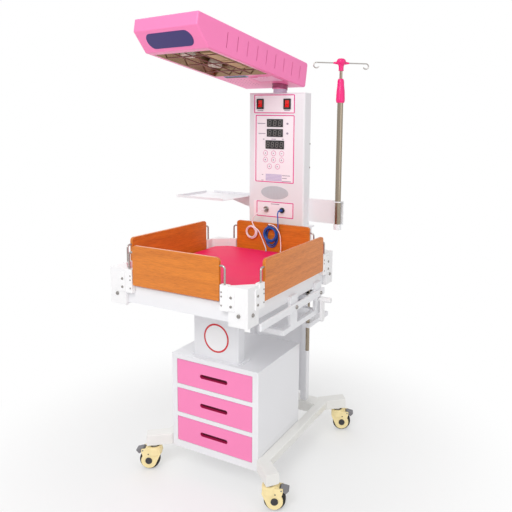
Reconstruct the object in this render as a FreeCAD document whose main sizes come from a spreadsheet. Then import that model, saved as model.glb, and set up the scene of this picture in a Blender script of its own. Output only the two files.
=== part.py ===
"""Infant radiant warmer: a wheeled base with a drawer cabinet, a tilting bed with wooden
side walls, a control box on two rear posts, a heater hood, an instrument tray and a drip pole.

Seen from the front: X runs to the right, Y to the back, Z up, in millimetres.
While it is drawn, the middle of the bed lies over X 0, Y 0 and the floor is Z 0."""
import FreeCAD
import Part
import Sketcher
import math
import os
import re

os.makedirs("parts", exist_ok=True)
Vector = FreeCAD.Vector
X_AXIS, Y_AXIS, Z_AXIS = Vector(1, 0, 0), Vector(0, 1, 0), Vector(0, 0, 1)
UPRIGHT = FreeCAD.Rotation()
ALONG_X = FreeCAD.Rotation(Y_AXIS, 90)
ALONG_Y = FreeCAD.Rotation(X_AXIS, -90)

# Driving sizes: every length that can be set by itself, in millimetres or degrees
SIZES = {
    # Castors: local X is the trailing direction, the swivel axis is local Z
    "wheel_radius": 40, "wheel_width": 24, "wheel_edge": 6, "castor_height": 108,
    "castor_trail": 20, "castor_cup_radius": 28, "castor_cup_low": 66, "castor_cup_top": 98,
    "castor_recess_radius": 19, "castor_recess_depth": 6,
    "cheek_half_width": 20, "cheek_inner": 14, "cheek_radius": 31, "wheel_clear": 2.5,
    "hub_boss_radius": 19, "hub_boss_gap": 0.4, "hub_cap_radius": 13.5, "hub_cap_out": 2,
    "pin_clear": 0.05, "castor_neck_radius": 12, "castor_stem_radius": 10, "castor_stem_length": 32,
    "pedal_pin_radius": 3, "pedal_barrel_radius": 5, "pedal_side_gap": 0.3,
    "pedal_pivot_out": 44, "pedal_pivot_up": 82,
    # Base frame
    "base_top": 152, "leg_height": 44, "leg_width": 50, "leg_round": 4, "beam_width": 40,
    "beam_height": 34, "beam_front": -102, "beam_rear": 432,
    "leg_reach": 92, "swivel_inset": 30, "leg_splay_front": 38, "leg_splay_rear": 41, "crossbar_depth": 64, "crossbar_y": 362,
    # Drawer cabinet
    "cabinet_width": 400, "cabinet_depth": 322, "cabinet_front": -111, "cabinet_low": 104,
    "cabinet_height": 388, "cabinet_round": 3, "cabinet_back_wall": 20,
    "drawer_side": 26.5, "drawer_between": 20, "drawer_top_rim": 21, "drawer_low_rim": 10,
    "drawer_gap": 1.5, "drawer_front_thick": 18, "drawer_box_side": 14.5, "drawer_box_short": 21,
    "drawer_box_depth": 270, "drawer_wall": 3, "drawer_sag": 8, "grip_length": 128,
    "grip_height": 17, "grip_depth": 13, "runner_gap": 0.3, "runner_under": 5, "runner_height": 10,
    # Support column and tilt pivot
    "column_left": -108, "column_right": 98, "column_front": -89, "column_depth": 45, "column_top": 740,
    "column_round": 4, "column_foot_out": 14, "column_foot_thick": 5,
    "pivot_y": -66, "pivot_z": 782, "pivot_radius": 8, "pivot_half": 96, "ear_x": 56,
    "ear_thick": 12, "ear_half": 22, "hanger_gap": 0.3, "hanger_thick": 10, "hanger_drop": 18,
    # Rear posts, their sheet and the arm that holds the tilt rod
    "post_inner": 121, "post_width": 30, "post_front": 375, "post_depth": 30,
    "sheet_thick": 3, "sheet_low": 190, "sheet_high": 900, "saddle_thick": 6, "saddle_out": 6,
    "saddle_front": 360, "saddle_depth": 56,
    "arm_low": 560, "arm_height": 18, "arm_width": 30, "rod_inset": 54, "rod_y": 235,
    "rod_radius": 8, "rod_low": 456, "rod_high": 752,
    # Bed deck
    "deck_half_x": 278, "deck_half_y": 310, "deck_top": 812, "deck_low": 750, "deck_sheet": 3,
    "corner_out": 14, "corner_size_x": 73, "corner_size_y": 66,
    "corner_step": 12, "corner_low": 742, "corner_high": 874,
    "mattress_side_gap": 7, "mattress_low": 812.3, "mattress_high": 852,
    "mattress_corner_gap": 3, "mattress_round": 14,
    # Side walls, their steel rods and brackets
    "wall_thick": 12, "wall_low": 820, "wall_high": 963, "wall_right_down": 12, "wall_clear": 3, "wall_gap": 4.8,
    "wall_corner": 14, "wall_foot_corner": 4,
    "bracket_low": 791, "bracket_high": 876, "bracket_body": 32, "bracket_flange": 24,
    "bracket_plate": 4, "wire_radius": 3.5, "wire_exit": 937, "wire_bend": 11, "wire_low": 836,
    "wire_clear": 0.1, "bolt_radius": 6.5, "bolt_head": 4.5, "small_bolt_radius": 4.5,
    "small_bolt_head": 3,
    # Accessory rails with the lower frames
    "rail_thick": 10, "rail_height": 28, "rail_low": 713, "rail_front": -255, "rail_rear": 235,
    "strap_thick": 12, "strap_half": 26, "strap_front_y": -10, "strap_rear_y": 196,
    "strap_top": 770, "frame_low": 640, "frame_height": 20, "frame_bar": 20,
    "frame_front": -88, "frame_reach": 108,
    # Tilt lock
    "lock_low": 684, "lock_height": 26, "lock_half_x": 19, "lock_front": 187, "lock_rear": 276,
    "slot_front": 213, "slot_rear": 266, "slot_clear": 0.6, "lever_y": 200, "lever_z": 700,
    "lever_shaft_radius": 6, "hub_radius": 11, "hub_out": 344, "lever_width": 30,
    "lever_thick": 9, "lever_length": 92, "lever_gap": 0.4,
    # Control box and its front
    "box_x": -8, "box_half_x": 139, "box_front": 358, "box_depth": 62, "box_low": 956, "box_high": 1530,
    "box_round": 7, "label_left": -121, "label_right": 83, "label_thick": 0.8, "label_round": 4,
    "label_top": 1523, "label_one_height": 82, "label_gap": 6, "label_two_height": 296,
    "label_three_low": 984, "label_three_height": 70,
    "rocker_left_x": -89, "rocker_right_x": 46, "rocker_z": 1482, "rocker_half_x": 10,
    "rocker_half_z": 15, "rocker_frame": 6, "rocker_frame_out": 5, "rocker_gap": 1.5,
    "rocker_deep": 12, "rocker_turn": 7, "rocker_pin_radius": 1.5, "rocker_pin_in": 3,
    "display_half_x": 40, "display_half_z": 17, "display_out": 2, "display_x": -14,
    "display_z_top": 1400, "display_z_middle": 1357, "display_z_low": 1307,
    "key_radius": 9.5, "key_out": 1.4, "key_z_top": 1268, "key_pitch_z": 29, "key_pitch_x": 41,
    "key_middle_x": -20, "socket_left_x": -54, "socket_right_x": 27, "socket_z": 1018,
    "socket_radius": 12, "socket_out": 7, "socket_bore": 6.8,
    # Heater hood: local Y 0, Z 0 is where the neck axis meets the underside, local X 0 its middle
    "neck_top": 1566, "neck_radius": 30, "neck_high": 1547, "spigot_radius": 19,
    "spigot_short": 6, "collar_radius": 33, "collar_gap": 0.4,
    "hood_shift": -77, "hood_half": 168, "hood_rear": 63, "hood_front_low": -527, "hood_front": -592,
    "hood_brow": 62, "hood_height": 110, "hood_tail_height": 107.6, "hood_wall": 3,
    "hood_rise": 9.2, "hood_turn": -8.3, "hood_round": 12, "hood_edge": 5,
    "mouth_half": 148, "mouth_front": -503, "mouth_rear": -172,
    "vent_first": -441, "vent_pitch": 56.3, "vent_width": 3, "vent_low": 26, "vent_high": 83,
    "tray_lip": 8, "reflector_wall": 2, "reflector_height": 62, "reflector_flare": 30,
    "reflector_gap": 0.5, "reflector_flange": 8,
    "heater_x": 33, "heater_front": -362, "heater_rear": -252, "heater_half_x": 30,
    "heater_half_y": 50, "heater_thick": 12, "heater_z": 22, "heater_stem": 5,
    "lamp_x": -92, "lamp_front": -385, "lamp_rear": -235, "lamp_radius": 30, "lamp_neck": 13,
    "lamp_z": 34, "lamp_face": 8, "grille_wire": 2.2, "grille_z": 4.5, "grille_half": 60,
    # Instrument tray
    "shelf_half_x": 123, "shelf_centre_x": -273, "shelf_front": 160, "shelf_rear": 398,
    "shelf_z": 1068, "shelf_thick": 2, "rim_height": 10, "rim_gap": 26, "gusset_height": 56,
    "gusset_length": 175, "gusset_y": 388, "gusset_thick": 3, "shelf_foot_thick": 4,
    # Drip pole
    "pole_x": 280, "pole_y": 390, "pole_radius": 12.5, "pole_bore": 6.4, "pole_low": 958,
    "pole_high": 1506, "plate_thick": 4, "plate_low": 972, "plate_high": 1074, "plate_y": 406,
    "lug_half": 18, "lug_thick": 4, "cup_radius": 17, "cup_low": 952, "cup_high": 976,
    "pole_fit": 0.1, "pole_slip": 0.03, "grip_low": 1488, "grip_high": 1586, "grip_radius": 18.5, "grip_wall": 3.5, "grip_end": 4.1, "mast_low": 1110, "mast_high": 1630, "mast_radius": 6.3,
    "mast_sink": 30,
    "head_low": 1618, "head_high": 1669, "head_radius": 20, "head_neck": 10.5, "hook_wire": 2.6, "hook_z": 1650,
    "hook_reach": 114, "hook_curl": 11, "hook_turn": 30,
    # Sensor cords and their fittings
    "plug_radius": 6, "plug_length": 24, "white_cord_radius": 2.5, "blue_cord_radius": 2.75,
    "thin_cord_radius": 2, "white_coil_ring": 27, "white_coil_thick": 6, "white_coil_x": -100,
    "white_coil_z": 918, "blue_coil_ring": 30, "blue_coil_thick": 9, "blue_coil_x": 1,
    "blue_coil_z": 918, "blue_loop_ring": 33, "blue_loop_thick": 4, "blue_loop_drop": 24, "blue_loop_back": 4.5,
    "coil_y": 304.5, "tip_radius": 3, "tip_length": 14,
}

# Sizes that follow from the driving ones
FOLLOWING = {
    "beam_inner": "cabinet_width / 2",
    "drawer_width": "cabinet_width - 2 * drawer_side",
    "drawer_box_width": "drawer_width - 2 * drawer_box_side",
    "drawer_top": "cabinet_low + cabinet_height - drawer_top_rim",
    "drawer_pitch": "(cabinet_height - drawer_top_rim - drawer_low_rim) / 3",
    "drawer_height": "drawer_pitch - drawer_between", "drawer_box_height": "drawer_height - drawer_box_short",
    "rod_x": "deck_half_x - rod_inset",
    "corner_x": "deck_half_x + corner_out", "corner_y": "deck_half_y + corner_out",
    "mattress_half_x": "deck_half_x - mattress_side_gap", "mattress_half_y": "deck_half_y - mattress_side_gap",
}

doc = FreeCAD.newDocument("RadiantWarmer")
sheet = doc.addObject("Spreadsheet::Sheet", "Sizes")
for row, (name, value) in enumerate({**SIZES, **FOLLOWING}.items(), 1):
    sheet.set(f"A{row}", name)
    sheet.setAlias(f"B{row}", name)
    sheet.set(f"B{row}", f"={value}" if name in FOLLOWING else str(value))
doc.recompute()

NODES = []
WORDS = re.compile(r"[a-z_]+[a-z_0-9]*")


def tied(text):
    """The expression with each size name pointing at its cell in the sheet."""
    return WORDS.sub(lambda found: "Sizes." + found[0] if found[0] in SIZES or found[0] in FOLLOWING else found[0],
                     str(text))


def size(text):
    """The present value of an expression of size names."""
    return float(sheet.evalExpression(str(text)))


def bind(thing, **rules):
    """Tie each property of a thing to an expression; at_x, at_y and at_z place it."""
    for name, rule in rules.items():
        path = ".Placement.Base." + name[3:] if name.startswith("at_") else name
        thing.setExpression(path, tied(rule))
    return thing


def done(thing):
    """Work the new thing out at once, so that later steps can read its shape."""
    doc.recompute([thing])
    return thing


# Plain solids with every length bound to the sheet
def box(x, y, z):
    """A box from three pairs of expressions, low and high along each axis."""
    solid = doc.addObject("Part::Box", "Box")
    bind(solid, Length=f"({x[1]}) - ({x[0]})", Width=f"({y[1]}) - ({y[0]})",
         Height=f"({z[1]}) - ({z[0]})", at_x=x[0], at_y=y[0], at_z=z[0])
    return done(solid)


def bar(turn, radius, length, x, y, z):
    """A round bar from a point; its direction is UPRIGHT, ALONG_X or ALONG_Y."""
    solid = doc.addObject("Part::Cylinder", "Bar")
    solid.Placement = FreeCAD.Placement(Vector(), turn)
    bind(solid, Radius=radius, Height=length, at_x=x, at_y=y, at_z=z)
    return done(solid)


def cone(low_radius, high_radius, height, x, y, z):
    """An upright cone from the middle of its foot."""
    solid = doc.addObject("Part::Cone", "Cone")
    bind(solid, Radius1=low_radius, Radius2=high_radius, Height=height, at_x=x, at_y=y, at_z=z)
    return done(solid)


def ring(turn, ring_radius, wire_radius, x, y, z):
    """A torus about a point."""
    solid = doc.addObject("Part::Torus", "Ring")
    solid.Placement = FreeCAD.Placement(Vector(), turn)
    bind(solid, Radius1=ring_radius, Radius2=wire_radius, at_x=x, at_y=y, at_z=z)
    return done(solid)


def ball(radius, x, y, z):
    solid = doc.addObject("Part::Sphere", "Ball")
    return done(bind(solid, Radius=radius, at_x=x, at_y=y, at_z=z))


def join(*solids):
    fused = doc.addObject("Part::MultiFuse", "Joined")
    fused.Shapes = list(solids)
    fused.Refine = True
    return done(fused)


def cut(base, *tools):
    """The base less its tools, checked to have lost material."""
    result = doc.addObject("Part::Cut", "Cut")
    result.Base = base
    result.Tool = tools[0] if len(tools) == 1 else join(*tools)
    done(result)
    if result.Shape.Volume >= base.Shape.Volume - 1e-3:
        raise RuntimeError("a cut removed nothing")
    return result


def rounded(solid, radius, wanted):
    """Round the edges that a test picks out of a solid."""
    result = doc.addObject("Part::Fillet", "Rounded")
    result.Base = solid
    picked = [i + 1 for i, edge in enumerate(solid.Shape.Edges) if wanted(edge)]
    result.Edges = [(i, size(radius), size(radius)) for i in picked]
    return done(result)


def shape_of(shape):
    """A worked-out shape as an object of the document."""
    thing = doc.addObject("Part::Feature", "Shape")
    thing.Shape = shape
    return thing


def runs_along(edge, axis):
    """Whether an edge is a straight one along an axis."""
    ends = edge.Vertexes[-1].Point - edge.Vertexes[0].Point
    return ends.Length > 1e-6 and abs(abs(ends.normalize().dot(axis)) - 1) < 1e-6


def middle(edge):
    return (edge.Vertexes[0].Point + edge.Vertexes[-1].Point) * 0.5


def node(label, *solids):
    """Name a finished sub-part; several solids are a group of like pieces."""
    group = doc.addObject("Part::Compound", "Node")
    group.Links = list(solids)
    group.Label = label
    NODES.append(done(group))
    return group


# Bodies padded from fully bound sketches
def origin_plane(body, role):
    return next(item for item in body.Origin.OriginFeatures if item.Role == role)


def profile(body, role, points, start):
    """A closed outline on an origin plane, each corner bound to two expressions."""
    sketch = body.newObject("Sketcher::SketchObject", "Profile")
    sketch.AttachmentSupport = (origin_plane(body, role), [""])
    sketch.MapMode = "FlatFace"
    away = f"-({start})" if role == "XZ_Plane" else start
    sketch.setExpression(".AttachmentOffset.Base.z", tied(away))
    corners = [Vector(size(across), size(up), 0) for across, up in points]
    for i, corner in enumerate(corners):
        sketch.addGeometry(Part.LineSegment(corner, corners[(i + 1) % len(corners)]), False)
    for i in range(len(points)):
        sketch.addConstraint(Sketcher.Constraint("Coincident", i, 2, (i + 1) % len(points), 1))
    for i, (across, up) in enumerate(points):
        for kind, rule, value in (("DistanceX", across, corners[i].x), ("DistanceY", up, corners[i].y)):
            number = sketch.addConstraint(Sketcher.Constraint(kind, -1, 1, i, 1, value))
            sketch.setExpression(f"Constraints[{number}]", tied(rule))
    return sketch


def slab(role, points, start, depth):
    """A padded body: XZ_Plane pads towards the front, the other planes towards plus."""
    body = doc.addObject("PartDesign::Body", "Body")
    outline = profile(body, role, points, start)
    pad = body.newObject("PartDesign::Pad", "Pad")
    pad.Profile = outline
    pad.setExpression("Length", tied(depth))
    doc.recompute()
    return body


def soften(body, radius, wanted):
    """Round the edges of a body's last feature that a test picks out."""
    last = body.Tip
    fillet = body.newObject("PartDesign::Fillet", "Fillet")
    edges = [f"Edge{i + 1}" for i, edge in enumerate(last.Shape.Edges) if wanted(edge)]
    fillet.Base = (last, edges)
    fillet.setExpression("Radius", tied(radius))
    doc.recompute()
    return body


def rectangle(x, z):
    """The four corners of an outline from two pairs of expressions."""
    return [(x[0], z[0]), (x[1], z[0]), (x[1], z[1]), (x[0], z[1])]


def bent_wire(points, bend):
    """Straight runs joined by tangent arcs; bend is a radius, or None for the largest that fits."""
    points = [Vector(*point) for point in points]
    edges, radii, last = [], [], points[0]
    for before, here, after in zip(points, points[1:], points[2:]):
        back, on = before - here, after - here
        shorter = min(back.Length, on.Length)
        back.normalize()
        on.normalize()
        half = (math.pi - back.getAngle(on)) / 2
        radius = bend if bend else 0.45 * shorter / math.tan(half)
        reach = radius * math.tan(half)
        start, end = here + back * reach, here + on * reach
        inward = (back + on).normalize()
        centre = here + inward * (radius / math.cos(half))
        edges.append(Part.makeLine(last, start))
        edges.append(Part.Arc(start, centre - inward * radius, end).toShape())
        radii.append(radius)
        last = end
    edges.append(Part.makeLine(last, points[-1]))
    return Part.Wire(edges), radii


def tube(points, radius, bend=None):
    """A solid round tube along bent_wire, with its volume compared with length times section."""
    path, radii = bent_wire(points, bend)
    first = Vector(*points[0])
    along = Vector(*points[1]) - first
    section = Part.Wire(Part.makeCircle(radius, first, along))
    solid = path.makePipeShell([section], True, False, 1)
    solid = solid if solid.isValid() else path.makePipe(section)
    expected = math.pi * radius ** 2 * path.Length
    if abs(solid.Volume / expected - 1) > 0.02:
        raise RuntimeError(f"a tube has volume {solid.Volume:.0f}, not {expected:.0f}")
    return shape_of(solid), path.Length, radii


# Castors: each is drawn about its own swivel axis, then turned and set under its leg
def castor_housing():
    """Moulded fork: a round cup that runs down into two round cheeks beside the wheel."""
    trail, axle = "castor_trail", "wheel_radius"
    width = ("-cheek_half_width", "cheek_half_width")
    cup = bar(UPRIGHT, "castor_cup_radius", "castor_cup_top - castor_cup_low", "0", "0", "castor_cup_low")
    cup = rounded(cup, "wheel_edge", lambda edge: middle(edge).z > size("castor_cup_top") - 1
                  and not runs_along(edge, Z_AXIS))
    cheeks = bar(ALONG_Y, "cheek_radius", "2 * cheek_half_width", trail, width[0], axle)
    blade = slab("XZ_Plane", [
        ("-castor_cup_radius + 6", "castor_cup_top - 8"), ("-castor_cup_radius + 1", "castor_cup_low + 4"),
        (f"{trail} - cheek_radius * 0.94", f"{axle} - cheek_radius * 0.34"), (trail, axle),
        (f"{trail} + cheek_radius * 0.8", f"{axle} + cheek_radius * 0.6"),
        ("pedal_pivot_out + 6", "pedal_pivot_up - 8"), ("pedal_pivot_out + 6", "pedal_pivot_up + 5"),
        ("castor_cup_radius - 6", "castor_cup_top - 8")], "cheek_half_width", "2 * cheek_half_width")
    floor = "castor_cup_top - castor_recess_depth"
    recess = bar(UPRIGHT, "castor_recess_radius", "castor_recess_depth + 1", "0", "0", floor)
    neck = bar(UPRIGHT, "castor_neck_radius", f"castor_height - ({floor})", "0", "0", floor)
    stem = bar(UPRIGHT, "castor_stem_radius", "castor_stem_length", "0", "0", "castor_height")
    wheel_space = bar(ALONG_Y, "wheel_radius + wheel_clear", "2 * cheek_inner", trail, "-cheek_inner", axle)
    pedal_space = box(("pedal_pivot_out - pedal_barrel_radius - 3", "pedal_pivot_out + 30"),
                      ("-cheek_inner", "cheek_inner"), (f"{axle} + 12", "castor_cup_top + 8"))
    axle_bore = bar(ALONG_Y, "hub_cap_radius + pin_clear", "2 * cheek_half_width", trail, width[0], axle)
    pedal_bore = bar(ALONG_Y, "pedal_pin_radius + pin_clear", "2 * cheek_half_width",
                     "pedal_pivot_out", width[0], "pedal_pivot_up")
    fork = cut(join(cup, cheeks, blade), recess, wheel_space, pedal_space, axle_bore, pedal_bore)
    return join(fork, neck, stem)


def castor_wheel():
    """Tyre on its core, with the axle caps that turn in the cheeks."""
    tyre = bar(ALONG_Y, "wheel_radius", "wheel_width", "castor_trail", "-wheel_width / 2", "wheel_radius")
    tyre = rounded(tyre, "wheel_edge", lambda edge: not runs_along(edge, Y_AXIS))
    boss_half = "cheek_inner - hub_boss_gap"
    boss = bar(ALONG_Y, "hub_boss_radius", f"2 * ({boss_half})", "castor_trail", f"-({boss_half})", "wheel_radius")
    cap_half = "cheek_half_width + hub_cap_out"
    caps = bar(ALONG_Y, "hub_cap_radius", f"2 * ({cap_half})", "castor_trail", f"-({cap_half})", "wheel_radius")
    return join(tyre, boss, caps)


def castor_pedal():
    """Brake pedal: a wedge that is trodden down on its pin between the cheeks."""
    half = "cheek_inner - pedal_side_gap"
    barrel = bar(ALONG_Y, "pedal_barrel_radius", f"2 * ({half})", "pedal_pivot_out", f"-({half})", "pedal_pivot_up")
    pin = bar(ALONG_Y, "pedal_pin_radius", "2 * cheek_half_width", "pedal_pivot_out", "-cheek_half_width",
              "pedal_pivot_up")
    blade = slab("XZ_Plane", [
        ("pedal_pivot_out - 1", "pedal_pivot_up + pedal_barrel_radius + 4"),
        ("pedal_pivot_out + 3", "pedal_pivot_up - pedal_barrel_radius - 3"),
        ("pedal_pivot_out + 17", "pedal_pivot_up - 16"), ("pedal_pivot_out + 28", "pedal_pivot_up - 4"),
        ("pedal_pivot_out + 28", "pedal_pivot_up + 1")],
        half, f"2 * ({half})")
    return join(barrel, pin, blade)


# Each castor: name, side of the base along X and Y, heading of its trail in degrees
CASTORS = [("front_left", -1, -1, 205), ("front_right", 1, -1, 25),
           ("rear_left", -1, 1, 140), ("rear_right", 1, 1, 25)]


def swivel_place(side_x, side_y):
    """Where a castor's swivel axis stands: inboard of the end of its splayed leg."""
    out = size("leg_reach") - size("swivel_inset")
    splay = math.radians(size("leg_splay_rear" if side_y > 0 else "leg_splay_front"))
    along = size("beam_rear") if side_y > 0 else size("beam_front")
    return Vector(side_x * (size("beam_inner + beam_width / 2") + out * math.cos(splay)),
                  along + side_y * out * math.sin(splay), 0)


def castors():
    for name, side_x, side_y, heading in CASTORS:
        place = FreeCAD.Placement(swivel_place(side_x, side_y), FreeCAD.Rotation(Z_AXIS, heading))
        for kind, make in (("housing", castor_housing), ("wheel", castor_wheel), ("pedal", castor_pedal)):
            node(f"castor_{kind}_{name}", make()).Placement = place


def base_frame():
    """Two long beams, a crossbar at the back and four legs splayed to the corners."""
    pieces = []
    for side in (-1, 1):
        inner, outer = f"{side} * beam_inner", f"{side} * (beam_inner + beam_width)"
        x = (inner, outer) if side > 0 else (outer, inner)
        beam = box(x, ("beam_front", "beam_rear"), ("base_top - beam_height", "base_top"))
        pieces.append(rounded(beam, "leg_round", lambda edge: runs_along(edge, Y_AXIS)))
    pieces.append(box(("-beam_inner - 2", "beam_inner + 2"), ("crossbar_y", "crossbar_y + crossbar_depth"),
                      ("base_top - leg_height", "base_top")))
    bores = []
    for name, side_x, side_y, heading in CASTORS:
        leg = box(("-leg_width / 2", "leg_reach"), ("-leg_width / 2", "leg_width / 2"),
                  ("base_top - leg_height", "base_top"))
        leg = rounded(leg, "leg_round", lambda edge: runs_along(edge, X_AXIS))
        splay = size("leg_splay_rear" if side_y > 0 else "leg_splay_front")
        turn = side_y * (splay if side_x > 0 else 180 - splay)
        root = Vector(side_x * size("beam_inner + beam_width / 2"),
                      size("beam_rear") if side_y > 0 else size("beam_front"), 0)
        leg.Placement = FreeCAD.Placement(root, FreeCAD.Rotation(Z_AXIS, turn))
        pieces.append(done(leg))
        bore = shape_of(Part.makeCylinder(size("castor_stem_radius + pin_clear"),
                                          size("castor_stem_length") + 1, swivel_place(side_x, side_y)
                                          + Vector(0, 0, size("base_top - leg_height"))))
        bores.append(bore)
    between = box(("-beam_inner", "beam_inner"), ("beam_front - leg_width", "crossbar_y"),
                  ("base_top - leg_height", "base_top"))
    node("base_frame", cut(join(*pieces), between, *bores))


# Cabinet and drawers
DRAWERS = ("top", "middle", "low")


def drawer_z(number):
    """Low and high edge of a drawer front, counted from the top."""
    high = f"drawer_top - {number} * drawer_pitch"
    return f"{high} - drawer_height", high


def cabinet_shell():
    """Sheet cabinet with three open bays, each with a pair of runners on its sides."""
    rear = "cabinet_front + cabinet_depth"
    case = box(("-cabinet_width / 2", "cabinet_width / 2"), ("cabinet_front", rear),
               ("cabinet_low", "cabinet_low + cabinet_height"))
    case = rounded(case, "cabinet_round", lambda edge: runs_along(edge, Z_AXIS) or (
        runs_along(edge, Y_AXIS) and middle(edge).z > size("cabinet_low + 1")))
    bays, runners = [], []
    for number in range(len(DRAWERS)):
        low, high = drawer_z(number)
        half = "drawer_width / 2 + drawer_gap"
        bays.append(box((f"-({half})", half), ("cabinet_front", f"{rear} - cabinet_back_wall"),
                        (f"{low} - drawer_gap", f"{high} + drawer_gap")))
        floor = f"{low} + drawer_sag"
        front = "cabinet_front + drawer_front_thick + 4"
        for side in (-1, 1):
            near, far = f"{side} * (drawer_box_width / 2 - runner_under)", f"{side} * ({half})"
            x = (near, far) if side > 0 else (far, near)
            runners.append(box(x, (front, f"{rear} - cabinet_back_wall"),
                               (f"{low} - drawer_gap", f"{floor} - runner_gap")))
    node("cabinet_shell", join(cut(case, *bays), *runners))


def drawer(number, name):
    """Open-topped box behind a front with a long finger slot."""
    low, high = drawer_z(number)
    front = box(("-drawer_width / 2", "drawer_width / 2"),
                ("cabinet_front", "cabinet_front + drawer_front_thick"), (low, high))
    centre = f"{low} + drawer_height / 2"
    reach = "grip_length / 2 - grip_height / 2"
    slot = join(box((f"-({reach})", reach), ("cabinet_front", "cabinet_front + grip_depth"),
                    (f"{centre} - grip_height / 2", f"{centre} + grip_height / 2")),
                bar(ALONG_Y, "grip_height / 2", "grip_depth", reach, "cabinet_front", centre),
                bar(ALONG_Y, "grip_height / 2", "grip_depth", f"-({reach})", "cabinet_front", centre))
    floor = f"{low} + drawer_sag"
    inside = "drawer_box_width / 2 - drawer_wall"
    back = "cabinet_front + drawer_front_thick"
    tray = cut(box(("-drawer_box_width / 2", "drawer_box_width / 2"), (back, f"{back} + drawer_box_depth"),
                   (floor, f"{floor} + drawer_box_height")),
               box((f"-({inside})", inside), (f"{back} + drawer_wall", f"{back} + drawer_box_depth - drawer_wall"),
                   (f"{floor} + drawer_wall", f"{floor} + drawer_box_height + 1")))
    node(f"drawer_{name}", join(cut(front, slot), tray))


def support_column():
    """Sheet column on the cabinet, with the two ears and the pin that the bed tilts on."""
    foot_z = "cabinet_low + cabinet_height"
    column = box(("column_left", "column_right"), ("column_front", "column_front + column_depth"), (foot_z, "column_top"))
    column = rounded(column, "column_round", lambda edge: runs_along(edge, Z_AXIS))
    foot = box(("column_left - column_foot_out", "column_right + column_foot_out"),
               ("column_front + 6", "column_front + column_depth + column_foot_out"),
               (foot_z, f"{foot_z} + column_foot_thick"))
    pieces = [column, foot]
    for side in (-1, 1):
        near, far = f"{side} * ear_x", f"{side} * (ear_x + ear_thick)"
        x = (near, far) if side > 0 else (far, near)
        ear = slab("YZ_Plane", [("pivot_y - ear_half", "column_top"), ("pivot_y + ear_half", "column_top"),
                                ("pivot_y + 14", "pivot_z + 16"), ("pivot_y - 14", "pivot_z + 16")],
                   x[0], "ear_thick")
        pieces.append(soften(ear, "6", lambda edge: runs_along(edge, X_AXIS)
                             and middle(edge).z > size("pivot_z")))
    pieces.append(bar(ALONG_X, "pivot_radius", "2 * pivot_half", "-pivot_half", "pivot_y", "pivot_z"))
    node("support_column", join(*pieces))


def rear_posts():
    """Two square posts from the base to the control box, the sheet between them and the rod arm."""
    front, back = "post_front", "post_front + post_depth"
    outer = "post_inner + post_width"
    pieces = [box((f"{side} * post_inner" if side > 0 else f"-({outer})", outer if side > 0 else "-post_inner"),
                  (front, back), ("base_top", "box_low - saddle_thick")) for side in (-1, 1)]
    pieces = [rounded(post, "3", lambda edge: runs_along(edge, Z_AXIS)) for post in pieces]
    pieces.append(box(("-post_inner - 4", "post_inner + 4"), (f"{front} + 6", f"{front} + 6 + sheet_thick"),
                      ("sheet_low", "sheet_high")))
    pieces.append(box((f"-({outer}) - saddle_out", f"{outer} + saddle_out"),
                      ("saddle_front", "saddle_front + saddle_depth"), ("box_low - saddle_thick", "box_low")))
    arm_y, arm_top = f"{back} - arm_width", "arm_low + arm_height"
    pieces.append(box((f"{outer} - 4", "rod_x + arm_width / 2"), (arm_y, back), ("arm_low", arm_top)))
    pieces.append(box(("rod_x - arm_width / 2", "rod_x + arm_width / 2"), ("rod_y - arm_width / 2", back),
                      ("arm_low", arm_top)))
    bore = bar(UPRIGHT, "rod_radius", "arm_height", "rod_x", "rod_y", "arm_low")
    node("rear_posts", cut(join(*pieces), bore))
    rod = bar(UPRIGHT, "rod_radius", "rod_high - rod_low", "rod_x", "rod_y", "rod_low")
    node("tilt_rod", rounded(rod, "1.5", lambda edge: not runs_along(edge, Z_AXIS)))


# Bed
def mirrored_pair(x_low, x_high, side):
    """A pair of expressions on the right, or its mirror image on the left."""
    return (x_low, x_high) if side > 0 else (f"-({x_high})", f"-({x_low})")


def corner_outline(side_x, side_y, grow="0"):
    """Plan of a corner post: two outer faces and a diagonal inner face."""
    points = [("corner_x - corner_size_x", "corner_y"), ("corner_x", "corner_y"),
              ("corner_x", "corner_y - corner_size_y"),
              ("corner_x - corner_step", "corner_y - corner_size_y"),
              ("corner_x - corner_size_x", "corner_y - corner_step")]
    return [(f"{side_x} * ({x})", f"{side_y} * ({y})") for x, y in points]


CORNERS = [(side_x, side_y) for side_y in (-1, 1) for side_x in (-1, 1)]


def corner_posts():
    posts = []
    for side_x, side_y in CORNERS:
        post = slab("XY_Plane", corner_outline(side_x, side_y), "corner_low", "corner_high - corner_low")
        posts.append(soften(post, "4", lambda edge: runs_along(edge, Z_AXIS)
                            and abs(middle(edge).x) > size("corner_x - 1")
                            and abs(middle(edge).y) > size("corner_y - 1")))
    node("corner_posts", *posts)
    return posts


def deck_pan(posts):
    """Folded sheet tray that carries the mattress, with the two hangers that ride on the pin."""
    x, y = ("-deck_half_x", "deck_half_x"), ("-deck_half_y", "deck_half_y")
    skirt = box(x, y, ("deck_low", "deck_top"))
    under = box(("-deck_half_x + deck_sheet", "deck_half_x - deck_sheet"),
                ("-deck_half_y + deck_sheet", "deck_half_y - deck_sheet"), ("deck_low", "deck_top - deck_sheet"))
    pieces = [cut(skirt, under, *posts)]
    for side in (-1, 1):
        hanger_x = mirrored_pair("ear_x + ear_thick + hanger_gap", "ear_x + ear_thick + hanger_gap + hanger_thick",
                                 side)
        hanger = box(hanger_x, ("pivot_y - ear_half", "pivot_y + ear_half"),
                     ("pivot_z - hanger_drop", "deck_top - deck_sheet"))
        pieces.append(rounded(hanger, "8", lambda edge: runs_along(edge, X_AXIS)
                              and middle(edge).z < size("pivot_z")))
    bore = bar(ALONG_X, "pivot_radius + pin_clear", "2 * pivot_half", "-pivot_half", "pivot_y", "pivot_z")
    node("deck_pan", cut(join(*pieces), bore))


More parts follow.
